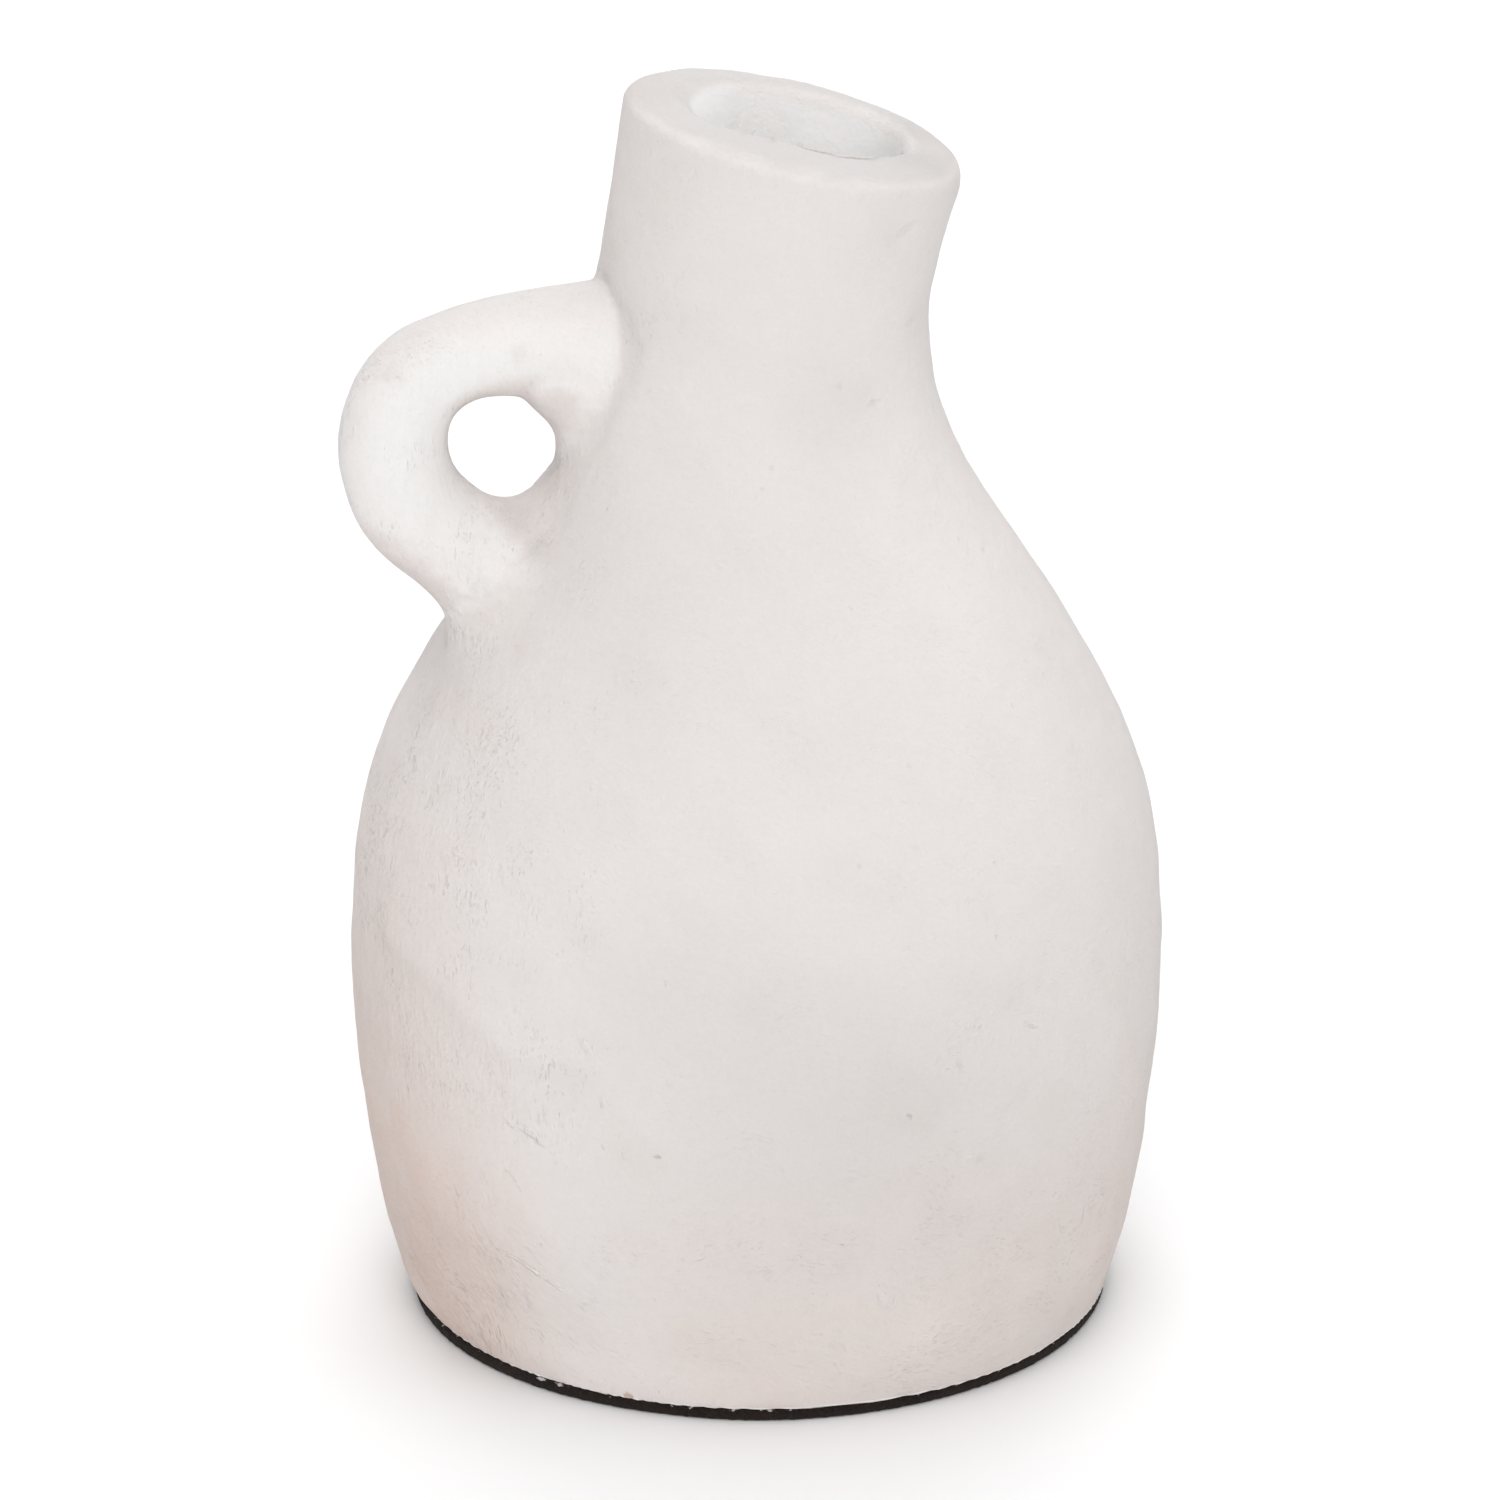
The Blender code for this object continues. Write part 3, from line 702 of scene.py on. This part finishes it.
class Graph:
    """A short way to write a node material."""

    def __init__(self, name):
        self.material = bpy.data.materials.new(name)
        self.material.use_nodes = True
        self.tree = self.material.node_tree
        self.tree.nodes.clear()
        self.column = 0

    def node(self, kind, **settings):
        n = self.tree.nodes.new(kind)
        n.location = (self.column * 30, -(self.column % 7) * 160)
        self.column += 1
        for key, value in settings.items():
            setattr(n, key, value)
        return n

    def link(self, source, socket):
        self.tree.links.new(source, socket)

    def feed(self, socket, value):
        if isinstance(value, bpy.types.NodeSocket):
            self.link(value, socket)
        elif value is not None:
            socket.default_value = value

    def math(self, operation, a, b=None, c=None, clamp=False):
        n = self.node("ShaderNodeMath", operation=operation, use_clamp=clamp)
        for socket, value in zip(n.inputs, (a, b, c)):
            self.feed(socket, value)
        return n.outputs[0]

    def vec(self, operation, a, b=None):
        n = self.node("ShaderNodeVectorMath", operation=operation)
        self.feed(n.inputs[0], a)
        if b is not None:
            self.feed(n.inputs[1], b)
        return n.outputs["Value"] if operation in ("DISTANCE", "LENGTH", "DOT_PRODUCT") else n.outputs["Vector"]

    def noise(self, vector, scale, detail=2.0, rough=0.5, distortion=0.0, lacunarity=2.0):
        n = self.node("ShaderNodeTexNoise")
        self.feed(n.inputs["Vector"], vector)
        n.inputs["Scale"].default_value = scale
        n.inputs["Detail"].default_value = detail
        n.inputs["Roughness"].default_value = rough
        n.inputs["Distortion"].default_value = distortion
        n.inputs["Lacunarity"].default_value = lacunarity
        return n.outputs["Fac"]

    def spread(self, value, a, b, c=0.0, d=1.0, smooth=True):
        """Maps a..b to c..d, clamped."""
        n = self.node("ShaderNodeMapRange", interpolation_type="SMOOTHSTEP" if smooth else "LINEAR", clamp=True)
        self.feed(n.inputs["Value"], value)
        for name, v in zip(("From Min", "From Max", "To Min", "To Max"), (a, b, c, d)):
            n.inputs[name].default_value = v
        return n.outputs["Result"]

    def mix(self, amount, a, b, blend="MIX"):
        n = self.node("ShaderNodeMix", data_type="RGBA", blend_type=blend, clamp_factor=True)
        self.feed(n.inputs[0], amount)
        for socket, value in ((n.inputs[6], a), (n.inputs[7], b)):
            if isinstance(value, tuple):
                socket.default_value = (*value, 1.0)
            else:
                self.feed(socket, value)
        return n.outputs[2]

    def bump(self, height, distance, strength=1.0, normal=None):
        n = self.node("ShaderNodeBump")
        self.feed(n.inputs["Height"], height)
        n.inputs["Distance"].default_value = distance
        n.inputs["Strength"].default_value = strength
        if normal is not None:
            self.link(normal, n.inputs["Normal"])
        return n.outputs["Normal"]

    def finish(self, **sockets):
        shader = self.node("ShaderNodeBsdfPrincipled")
        for name, value in sockets.items():
            self.feed(shader.inputs[name.replace("_", " ")], value)
        out = self.node("ShaderNodeOutputMaterial")
        self.link(shader.outputs[0], out.inputs["Surface"])
        return self.material


# small pits in the wash: where they are seen, and how wide they are in mm
PITS = ((657, 1157, 1.0), (763, 1220, 0.9), (761, 1243, 0.7), (800, 1245, 0.7), (842, 1245, 0.7), (655, 1300, 0.8),
        (665, 984, 0.8), (859, 866, 0.9), (995, 864, 0.9), (908, 948, 0.8), (996, 937, 0.8), (1026, 1023, 0.8),
        (981, 1027, 0.8), (940, 1058, 0.7), (948, 1070, 0.8), (961, 1084, 0.7), (910, 1117, 0.8), (956, 1131, 0.8),
        (961, 1235, 0.8), (873, 402, 1.1), (840, 387, 0.9), (771, 468, 0.8), (762, 489, 0.8), (851, 609, 0.9),
        (908, 766, 0.8), (959, 539, 0.8), (1044, 675, 0.8), (1012, 705, 0.8), (984, 552, 1.0), (1026, 588, 1.0))


# the torn line along the mouth's near edge, painted dark: torn clay, and painted shade where the lip turns into the
# bore
SEAMS_AND_SHADE = ((752, 134, 771, 138, 0.6), (774, 140, 800, 146, 1.0), (803, 148, 834, 155, 0.8), (838, 157, 872, 159, 0.8),
         (874, 159, 902, 154, 0.9))
# where the clay was smeared and left rough: pixel, and radius in mm
SMEARED = ((512, 518, 6.5), (538, 548, 5.0), (480, 590, 4.0), (787, 142, 2.4))
# single scrapes, nicks and grains, each from one pixel of the frame to another: half width and height in mm
TICKS = ((519, 1129, 544, 1147, 0.32, -1.0), (516, 1121, 534, 1134, 0.30, 0.6), (504, 1119, 515, 1130, 0.28, -0.7),
         (505, 1169, 516, 1181, 0.30, -0.8), (513, 1180, 523, 1193, 0.30, 0.8), (579, 1030, 596, 1060, 0.42, 0.7),
         (576, 1034, 590, 1060, 0.30, -0.5), (601, 1099, 602, 1108, 0.34, -0.8), (655, 1157, 660, 1159, 0.34, -1.2),
         (487, 720, 481, 739, 0.36, 1.1), (491, 722, 486, 741, 0.26, -0.5),
         (492, 1246, 520, 1261, 0.44, 1.5), (517, 1259, 547, 1280, 0.48, 1.8), (545, 1279, 567, 1293, 0.42, 1.4),
         (897, 236, 916, 222, 0.95, -0.7), (903, 326, 916, 315, 0.90, -0.55),
         (868, 406, 881, 400, 0.60, -0.5), (834, 388, 842, 382, 0.50, -0.35), (1027, 1026, 1038, 1027, 0.34, -0.9),
         (958, 1061, 961, 1070, 0.60, -0.8), (954, 1053, 959, 1055, 0.40, 0.9), (967, 1157, 974, 1155, 0.55, 0.9),
         (976, 1162, 983, 1158, 0.55, -0.7), (909, 1114, 911, 1119, 0.34, -1.0), 
         (652, 312, 654, 323, 0.36, -0.35), (681, 313, 682, 325, 0.36, -0.35))


def limewash():
    g = Graph("limewashed_terracotta")
    coords = g.node("ShaderNodeTexCoord").outputs["Object"]
    p = g.vec("SCALE", coords)
    p.node.inputs["Scale"].default_value = 1000.0
    parts = g.node("ShaderNodeSeparateXYZ")
    g.link(p, parts.inputs[0])
    x, y, z = parts.outputs
    wash_and_light = g.node("ShaderNodeAttribute", attribute_name="wash_and_light").outputs["Fac"]
    warmth = g.node("ShaderNodeAttribute", attribute_name="warmth").outputs["Fac"]

    def stretched(scale, offset=(0, 0, 0)):
        n = g.node("ShaderNodeMapping")
        g.link(p, n.inputs["Vector"])
        n.inputs["Scale"].default_value = scale
        n.inputs["Location"].default_value = offset
        return n.outputs["Vector"]

    def joined(a, b, c):
        n = g.node("ShaderNodeCombineXYZ")
        for socket, value in zip(n.inputs, (a, b, c)):
            g.feed(socket, value)
        return n.outputs[0]

    def centred(value):
        return g.math("SUBTRACT", value, 0.5)

    # the brush went up and down and slanted at the handle's side and on the neck, and round the pot elsewhere
    sideways = g.vec("DOT_PRODUCT", p, (float(RIGHT[0]), float(RIGHT[1]), 0.0))
    left = g.spread(sideways, 5.0, -50.0)
    high = g.spread(z, 165.0, 205.0)
    sway = g.math("MULTIPLY", centred(g.noise(p, 0.020, 1.0)), 46.0)
    wag = g.math("MULTIPLY", centred(g.noise(stretched((1, 1, 1), (90, 40, 10)), 0.060, 2.0)), 14.0)
    slant = g.math("MULTIPLY", g.spread(sideways, -20.0, -75.0), g.math("MULTIPLY", sideways, 0.9))
    level_z = g.math("ADD", g.math("ADD", z, slant), g.math("ADD", sway, wag))
    round_strokes = g.noise(joined(g.math("MULTIPLY", x, 0.115), g.math("MULTIPLY", y, 0.115),
                                   g.math("MULTIPLY", level_z, 0.62)), 1.0, 4.0, 0.62)
    both = g.math("MULTIPLY", g.math("ADD", sway, wag), 0.3)
    up_strokes = g.noise(joined(g.math("MULTIPLY", g.math("ADD", x, both), 0.62),
                                g.math("MULTIPLY", g.math("ADD", y, both), 0.62),
                                g.math("MULTIPLY", z, 0.15)), 1.0, 4.0, 0.62)
    upward = g.math("MAXIMUM", g.math("MULTIPLY", left, g.spread(z, 22.0, 70.0)), g.math("MULTIPLY", high, 0.75))
    strokes = g.node("ShaderNodeMix", data_type="FLOAT")
    g.link(upward, strokes.inputs[0])
    g.link(round_strokes, strokes.inputs[2])
    g.link(up_strokes, strokes.inputs[3])
    strokes = strokes.outputs[0]
    # strokes are stronger at the left and low down, and almost gone on the smooth right shoulder
    calm = g.spread(g.noise(stretched((1, 1, 1), (17, 5, 60)), 0.030, 2.0), 0.36, 0.64, 0.25, 1.0)
    where = g.math("MAXIMUM", left, g.math("MULTIPLY", g.spread(z, 75.0, 30.0), 0.7))
    drag = g.math("MULTIPLY", calm, g.math("ADD", 0.30, g.math("MULTIPLY", where, 0.70)))

    # short nicks and grains that the brush and the sponge left, thinly scattered, along the way of the strokes
    nick_up = g.noise(joined(g.math("MULTIPLY", g.math("ADD", x, both), 1.35), g.math("MULTIPLY", g.math("ADD", y, both), 1.35),
                             g.math("MULTIPLY", z, 0.42)), 1.0, 2.0, 0.55)
    nick_round = g.noise(joined(g.math("MULTIPLY", x, 0.55), g.math("MULTIPLY", y, 0.55),
                                g.math("MULTIPLY", level_z, 1.05)), 1.0, 2.0, 0.55)
    nick = g.node("ShaderNodeMix", data_type="FLOAT")
    g.link(upward, nick.inputs[0])
    g.link(nick_round, nick.inputs[2])
    g.link(nick_up, nick.inputs[3])
    nick = nick.outputs[0]
    flurry = g.spread(g.noise(stretched((1, 1, 1), (44, 12, 7)), 0.075, 3.0, 0.6), 0.42, 0.66, 0.25, 1.0)
    busy = g.math("MULTIPLY", flurry, g.math("ADD", 0.45, g.math("MULTIPLY", where, 0.75)))
    nicks = g.math("MULTIPLY", g.math("SUBTRACT", g.spread(nick, 0.58, 0.74), g.spread(nick, 0.42, 0.27)), busy)

    grain = g.noise(p, 0.95, 4.0, 0.65)
    fine = g.noise(p, 3.4, 2.0, 0.5)
    blot = g.noise(stretched((1, 1, 1.2), (30, 70, 20)), 0.075, 3.0, 0.55)
    lumps = g.noise(stretched((1, 1, 1.1), (5, 9, 2)), 0.30, 3.0, 0.5)

    # the paint: a warm chalk white, tinted towards the clay's pink by the warmth attribute, which holds both thin coat
    # and painted warm shade at the edges, low down and under the loop
    chalk = (0.727, 0.699, 0.688)
    thin = (0.605, 0.462, 0.398)
    pink = g.math("MULTIPLY", warmth, g.spread(blot, 0.28, 0.72, 0.84, 1.16, smooth=False))
    coat = g.mix(g.spread(wash_and_light, 1.01, 1.13), chalk, (0.708, 0.700, 0.694))
    colour = g.mix(pink, coat, thin)
    streak = g.math("MULTIPLY", centred(strokes), g.math("MULTIPLY", drag, 0.085))
    mottle = g.math("ADD", g.math("MULTIPLY", centred(blot), 0.036), g.math("MULTIPLY", centred(grain), 0.046))
    mottle = g.math("ADD", mottle, g.math("MULTIPLY", nicks, 0.024))
    # the wash attribute's lightness scales the colour, and with it the painted light and shade that paint() put into it
    tone = g.math("MULTIPLY", wash_and_light, g.math("ADD", 1.0, g.math("ADD", streak, mottle)))
    shade = g.node("ShaderNodeCombineColor")
    for s in shade.inputs[:3]:
        g.link(tone, s)
    colour = g.mix(1.0, colour, shade.outputs[0], "MULTIPLY")

    # pinholes: a scatter everywhere, and the ones that can be seen in their places
    warp = g.node("ShaderNodeTexNoise")
    g.link(p, warp.inputs["Vector"])
    warp.inputs["Scale"].default_value = 1.1
    push = g.vec("SCALE", g.vec("SUBTRACT", warp.outputs["Color"], (0.5, 0.5, 0.5)))
    push.node.inputs["Scale"].default_value = 1.2
    wavy = g.vec("ADD", p, push)
    cells = g.node("ShaderNodeTexVoronoi", feature="F1")
    g.link(wavy, cells.inputs["Vector"])
    cells.inputs["Scale"].default_value = 0.085
    cells.inputs["Randomness"].default_value = 1.0
    gap = g.math("DIVIDE", cells.outputs["Distance"], 0.085)
    pick = g.node("ShaderNodeSeparateColor")
    g.link(cells.outputs["Color"], pick.inputs[0])
    hole_size = g.spread(pick.outputs[0], 0.50, 1.0, 0.0, 0.80, smooth=False)
    pits = g.math("MULTIPLY", g.math("SUBTRACT", hole_size, gap), 2.2, clamp=True)
    for px, py, wide in PITS:
        at = seen_at(px, py, clay)
        d = g.vec("DISTANCE", wavy, tuple(float(c) for c in at))
        pits = g.math("MAXIMUM", pits, g.spread(d, wide * 0.75, wide * 0.15))
    smeared = 0.0
    for px, py, wide in SMEARED:
        near = g.vec("DISTANCE", p, tuple(float(c) for c in seen_at(px, py, clay)))
        smeared = g.math("MAXIMUM", smeared, g.spread(near, wide, wide * 0.3))
    ticks = fine
    for x0, y0, x1, y1, half, high_by in TICKS:
        a, b = seen_at(x0, y0, clay), seen_at(x1, y1, clay)
        run = Vector(b - a)
        # each one waits for the one before it, so that few values are held at a time
        after = g.node("ShaderNodeVectorMath", operation="MULTIPLY_ADD")
        g.link(ticks, after.inputs[0])
        after.inputs[1].default_value = (1e-7, 1e-7, 1e-7)
        g.link(wavy, after.inputs[2])
        place = g.node("ShaderNodeMapping", vector_type="TEXTURE")
        g.link(after.outputs[0], place.inputs["Vector"])
        place.inputs["Location"].default_value = (a + b) / 2
        place.inputs["Rotation"].default_value = run.to_track_quat("X", "Z").to_euler()
        place.inputs["Scale"].default_value = (run.length / 2 + half, half, half)
        one = g.spread(g.vec("LENGTH", place.outputs["Vector"]), 1.35, 0.25, 0.0, high_by * 0.22)
        ticks = g.math("ADD", ticks if ticks is not fine else g.math("MULTIPLY", fine, 0.022), one)

    # and loose ones, long upwards at the handle's side and slanting down to the right under the belly
    lean = g.math("MULTIPLY", g.math("MAXIMUM", g.math("SUBTRACT", 90.0, z), 0.0), -0.7)
    loose = g.node("ShaderNodeTexVoronoi", feature="F1")
    g.link(joined(g.math("MULTIPLY", g.math("ADD", x, g.math("MULTIPLY", lean, float(RIGHT[0]))), 0.27),
                  g.math("MULTIPLY", g.math("ADD", y, g.math("MULTIPLY", lean, float(RIGHT[1]))), 0.27),
                  g.math("MULTIPLY", z, 0.10)), loose.inputs["Vector"])
    loose.inputs["Scale"].default_value = 1.0
    loose.inputs["Randomness"].default_value = 1.0
    draw = g.node("ShaderNodeSeparateColor")
    g.link(loose.outputs["Color"], draw.inputs[0])
    reach = g.spread(draw.outputs[0], 0.25, 1.0, 0.03, 0.17, smooth=False)
    struck = g.math("MULTIPLY", g.math("SUBTRACT", reach, loose.outputs["Distance"]), 11.0, clamp=True)
    struck = g.math("MULTIPLY", g.math("MULTIPLY", struck, busy), g.spread(draw.outputs[1], 0.40, 0.52, -0.8, 0.9))
    colour = g.mix(g.math("MULTIPLY", pits, 0.12), colour, (0.50, 0.445, 0.41))
    torn_and_shaded = 0.0
    for x0, y0, x1, y1, half in SEAMS_AND_SHADE:
        a, b = seen_at(x0, y0, clay), seen_at(x1, y1, clay)
        run = Vector(b - a)
        place = g.node("ShaderNodeMapping", vector_type="TEXTURE")
        g.link(wavy, place.inputs["Vector"])
        place.inputs["Location"].default_value = (a + b) / 2
        place.inputs["Rotation"].default_value = run.to_track_quat("X", "Z").to_euler()
        place.inputs["Scale"].default_value = (run.length / 2 + half, half, half)
        torn_and_shaded = g.math("MAXIMUM", torn_and_shaded, g.spread(g.vec("LENGTH", place.outputs["Vector"]), 1.4, 0.4))
    torn_and_shaded = g.math("MULTIPLY", torn_and_shaded, g.spread(grain, 0.38, 0.52, 0.25, 0.75))
    # the line along the mouth's near edge is painted dark: torn clay, and painted shade where the lip turns into the
    # bore
    colour = g.mix(torn_and_shaded, colour, (0.38, 0.34, 0.32))
    colour = g.mix(g.math("MULTIPLY", g.math("SUBTRACT", 0.0, struck, clamp=True), 0.09), colour, (0.48, 0.44, 0.42))

    # painted highlight and painted shade: raised ticks are painted lighter and sunk ones darker, as light catches a
    # ridge and misses a scrape
    lit = g.math("MULTIPLY_ADD", ticks, 0.36, 0.996)
    raised = g.node("ShaderNodeCombineColor")
    for s in raised.inputs[:3]:
        g.link(lit, s)
    colour = g.mix(1.0, colour, raised.outputs[0], "MULTIPLY")

    # the foot's edge: chalky where the wash pooled, and a few chips down to the clay
    edge = g.spread(z, 3.5, 2.8)
    pooled = g.math("MULTIPLY", edge, g.spread(g.noise(stretched((1, 1, 1), (3, 7, 2)), 0.16, 3.0, 0.6), 0.34, 0.50))
    colour = g.mix(g.math("MULTIPLY", pooled, 0.9), colour, (0.94, 0.935, 0.93))
    flakes = g.spread(g.noise(stretched((1, 1, 1.6), (3, 1, 2)), 0.36, 3.0, 0.6), 0.665, 0.70)
    chip = seen_at(628, 1396, clay)
    near_chip = g.spread(g.vec("DISTANCE", wavy, tuple(float(c) for c in chip)), 1.3, 0.7)
    chips = g.math("MAXIMUM", g.math("MULTIPLY", edge, flakes), near_chip)
    colour = g.mix(g.math("MULTIPLY", chips, 0.62), colour, (0.50, 0.295, 0.215))

    rough = g.spread(g.noise(stretched((1, 1, 1), (8, 8, 8)), 0.2, 3.0), 0.3, 0.7, 0.82, 0.95)

    # all of the fine relief, in mm
    height = g.math("MULTIPLY", lumps, 0.42)
    for part, deep in ((g.math("MULTIPLY", strokes, drag), 0.56), (nicks, 0.18), (grain, 0.22), (struck, 0.20),
                       (g.math("MAXIMUM", pits, chips), -0.12), (ticks, 1.0), (g.math("MULTIPLY", smeared, centred(fine)), 0.34)):
        height = g.math("ADD", height, g.math("MULTIPLY", part, deep))
    height = g.math("MULTIPLY", g.math("SUBTRACT", height, 0.43), g.spread(wash_and_light, 1.04, 1.20, 1.0, 0.45))
    normal = g.bump(height, 0.001, 1.0)
    return g.finish(Base_Color=colour, Roughness=rough, Normal=normal, Diffuse_Roughness=0.5, Specular_IOR_Level=0.22)


# where the wash ran over the pad's upper edge: column of the frame, and size in mm
DRIPS = ((539, 0.95), (541, 0.8), (555, 0.7), (558, 0.9), (566, 0.6), (573, 0.5), (581, 0.55), (590, 0.5), (604, 0.4),
         (633, 0.65), (666, 0.6), (671, 0.7), (679, 0.6), (690, 0.75), (697, 0.5), (712, 0.45), (733, 0.7), (741, 0.4),
         (762, 0.6), (770, 0.65), (776, 0.5), (790, 0.6), (812, 0.35), (930, 0.35), (952, 0.4), (967, 0.45), (1004, 0.35))


def felt():
    g = Graph("dark_felt")
    coords = g.node("ShaderNodeTexCoord").outputs["Object"]
    p = g.vec("SCALE", coords)
    p.node.inputs["Scale"].default_value = 1000.0
    parts = g.node("ShaderNodeSeparateXYZ")
    g.link(p, parts.inputs[0])
    z = parts.outputs[2]
    tangle = g.noise(p, 0.9, 5.0, 0.7, 1.8)
    cross = g.noise(p, 2.2, 4.0, 0.65, 2.6)
    cloud = g.noise(p, 0.09, 2.0)
    colour = g.mix(g.spread(tangle, 0.35, 0.70), (0.0072, 0.0048, 0.0038), (0.026, 0.0165, 0.0130))
    colour = g.mix(g.math("MULTIPLY", g.spread(cross, 0.56, 0.70), 0.5), colour, (0.054, 0.038, 0.031))
    colour = g.mix(g.math("MULTIPLY", g.spread(cloud, 0.4, 0.7), 0.3), colour, (0.030, 0.0185, 0.0140))
    # flecks of wash that ran over the top edge
    upper = g.spread(z, 2.0, 2.35)

    def tangled(v):
        n = g.node("ShaderNodeTexNoise")
        g.link(v, n.inputs["Vector"])
        n.inputs["Scale"].default_value = 1.6
        n.inputs["Detail"].default_value = 2.0
        return n.outputs["Color"]

    def pad_edge(across):
        """The point of the pad's upper edge that is seen at a column of the frame."""
        turns = np.linspace(math.radians(-175), math.radians(-30), 1500)
        rim = np.stack([70.6 * np.cos(turns), 70.6 * np.sin(turns), np.full(1500, 2.35)], -1)
        rel = rim - EYE
        columns = FRAME_W / 2 + FOCAL * (rel @ RIGHT) / (rel @ AHEAD)
        at = rim[np.argmin(np.abs(columns - across))]
        return float(at[0]), float(at[1]), 5.35

    fleck = g.spread(g.noise(p, 0.5, 4.0, 0.6), 0.64, 0.67)
    runs = g.math("MULTIPLY", upper, fleck)
    squat = g.vec("MULTIPLY", p, (1.0, 1.0, 2.0))
    frayed = g.vec("ADD", squat, g.vec("MULTIPLY", g.vec("SUBTRACT", tangled(p), (0.5, 0.5, 0.5)), (1.1, 1.1, 1.1)))
    for across, wide in DRIPS:
        at = pad_edge(across)
        runs = g.math("MAXIMUM", runs, g.spread(g.vec("DISTANCE", frayed, at), wide * 1.6, wide * 1.2))
    colour = g.mix(g.math("MULTIPLY", runs, 0.85), colour, (0.72, 0.70, 0.69))
    normal = g.bump(tangle, 0.0004, 0.9)
    normal = g.bump(cross, 0.0002, 0.8, normal)
    return g.finish(Base_Color=colour, Roughness=g.spread(cross, 0.3, 0.7, 0.88, 0.98), Normal=normal,
                    Diffuse_Roughness=1.0, Specular_IOR_Level=0.10, Sheen_Weight=0.06, Sheen_Roughness=0.6)


# ------------------------------------------------------------------------------------------------------- stage, lights

def build_stage():
    mesh = bpy.data.meshes.new("floor")
    s = 14.0
    mesh.from_pydata([(-s, -s, 0), (s, -s, 0), (s, s, 0), (-s, s, 0)], [], [(0, 1, 2, 3)])
    floor = bpy.data.objects.new("floor", mesh)
    bpy.context.scene.collection.objects.link(floor)
    g = Graph("studio_floor")
    p = g.node("ShaderNodeTexCoord").outputs["Object"]
    tone = g.mix(g.noise(p, 3.0, 3.0), (0.93, 0.93, 0.93), (0.945, 0.945, 0.945))
    floor.data.materials.append(g.finish(Base_Color=tone, Roughness=0.9, Specular_IOR_Level=0.1))

    scene = bpy.context.scene
    world = bpy.data.worlds.new("studio")
    scene.world = world
    world.use_nodes = True
    t = world.node_tree
    t.nodes.clear()
    coord = t.nodes.new("ShaderNodeTexCoord")
    split = t.nodes.new("ShaderNodeSeparateXYZ")
    t.links.new(coord.outputs["Generated"], split.inputs[0])
    ramp = t.nodes.new("ShaderNodeMapRange")
    ramp.inputs["From Min"].default_value = -0.1
    ramp.inputs["From Max"].default_value = 1.0
    ramp.inputs["To Min"].default_value = 0.86
    ramp.inputs["To Max"].default_value = 1.0
    t.links.new(split.outputs[2], ramp.inputs[0])
    back = t.nodes.new("ShaderNodeBackground")
    mixer = t.nodes.new("ShaderNodeMix")
    mixer.data_type = "RGBA"
    mixer.inputs[6].default_value = (0.98, 0.93, 0.90, 1)
    mixer.inputs[7].default_value = (0.97, 0.985, 1.0, 1)
    t.links.new(ramp.outputs[0], mixer.inputs[0])
    t.links.new(mixer.outputs[2], back.inputs["Color"])
    back.inputs["Strength"].default_value = 0.16
    out = t.nodes.new("ShaderNodeOutputWorld")
    t.links.new(back.outputs[0], out.inputs[0])

    def soft_sun(name, azimuth, elevation, power, colour, spread_angle=52.0):
        """A very large, far lamp. Its azimuth is counted from the camera's side, rightwards as the camera sees it."""
        data = bpy.data.lights.new(name, "SUN")
        data.energy = power
        data.angle = math.radians(spread_angle)
        data.color = colour
        lamp = bpy.data.objects.new(name, data)
        bpy.context.scene.collection.objects.link(lamp)
        a = math.atan2(EYE[1], EYE[0]) + math.radians(azimuth)
        e = math.radians(elevation)
        towards = Vector((math.cos(a) * math.cos(e), math.sin(a) * math.cos(e), math.sin(e)))
        lamp.rotation_euler = towards.to_track_quat("Z", "Y").to_euler()
        return lamp

    soft_sun("front", 8, 19, 1.18, (1.0, 0.985, 0.975))
    soft_sun("front_upper", -20, 40, 0.74, (1.0, 0.985, 0.97))
    soft_sun("side", 78, 38, 0.20, (1.0, 0.985, 0.975))
    soft_sun("top", 0, 75, 0.72, (0.985, 0.99, 1.0))
    soft_sun("back_top", 180, 72, 1.10, (0.985, 0.99, 1.0))
    soft_sun("back", 180, 42, 0.85, (0.985, 0.99, 1.0))

    camera = bpy.data.cameras.new("camera")
    camera.lens = LENS
    camera.sensor_width = SENSOR
    camera.sensor_fit = "AUTO"
    camera.clip_start = 0.05
    camera.clip_end = 60.0
    view = bpy.data.objects.new("camera", camera)
    scene.collection.objects.link(view)
    basis = np.stack([RIGHT, UP, -AHEAD], -1)
    view.matrix_world = Matrix.Translation(Vector(EYE / 1000.0)) @ Matrix(basis.tolist()).to_4x4()
    scene.camera = view
    scene.view_settings.view_transform = "Standard"
    scene.view_settings.look = "None"
    scene.view_settings.exposure = 0.0
    scene.view_settings.gamma = 1.0


pot = build_clay()
pot.data.materials.clear()
pot.data.materials.append(limewash())
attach(pot, "root")
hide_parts("floor_slab", "belly_wall", "shoulder_wall", "neck_collar", "handle")

pad = build_pad()
pad.data.materials.append(felt())
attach(pad, "root")
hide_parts("base_pad")

build_stage()
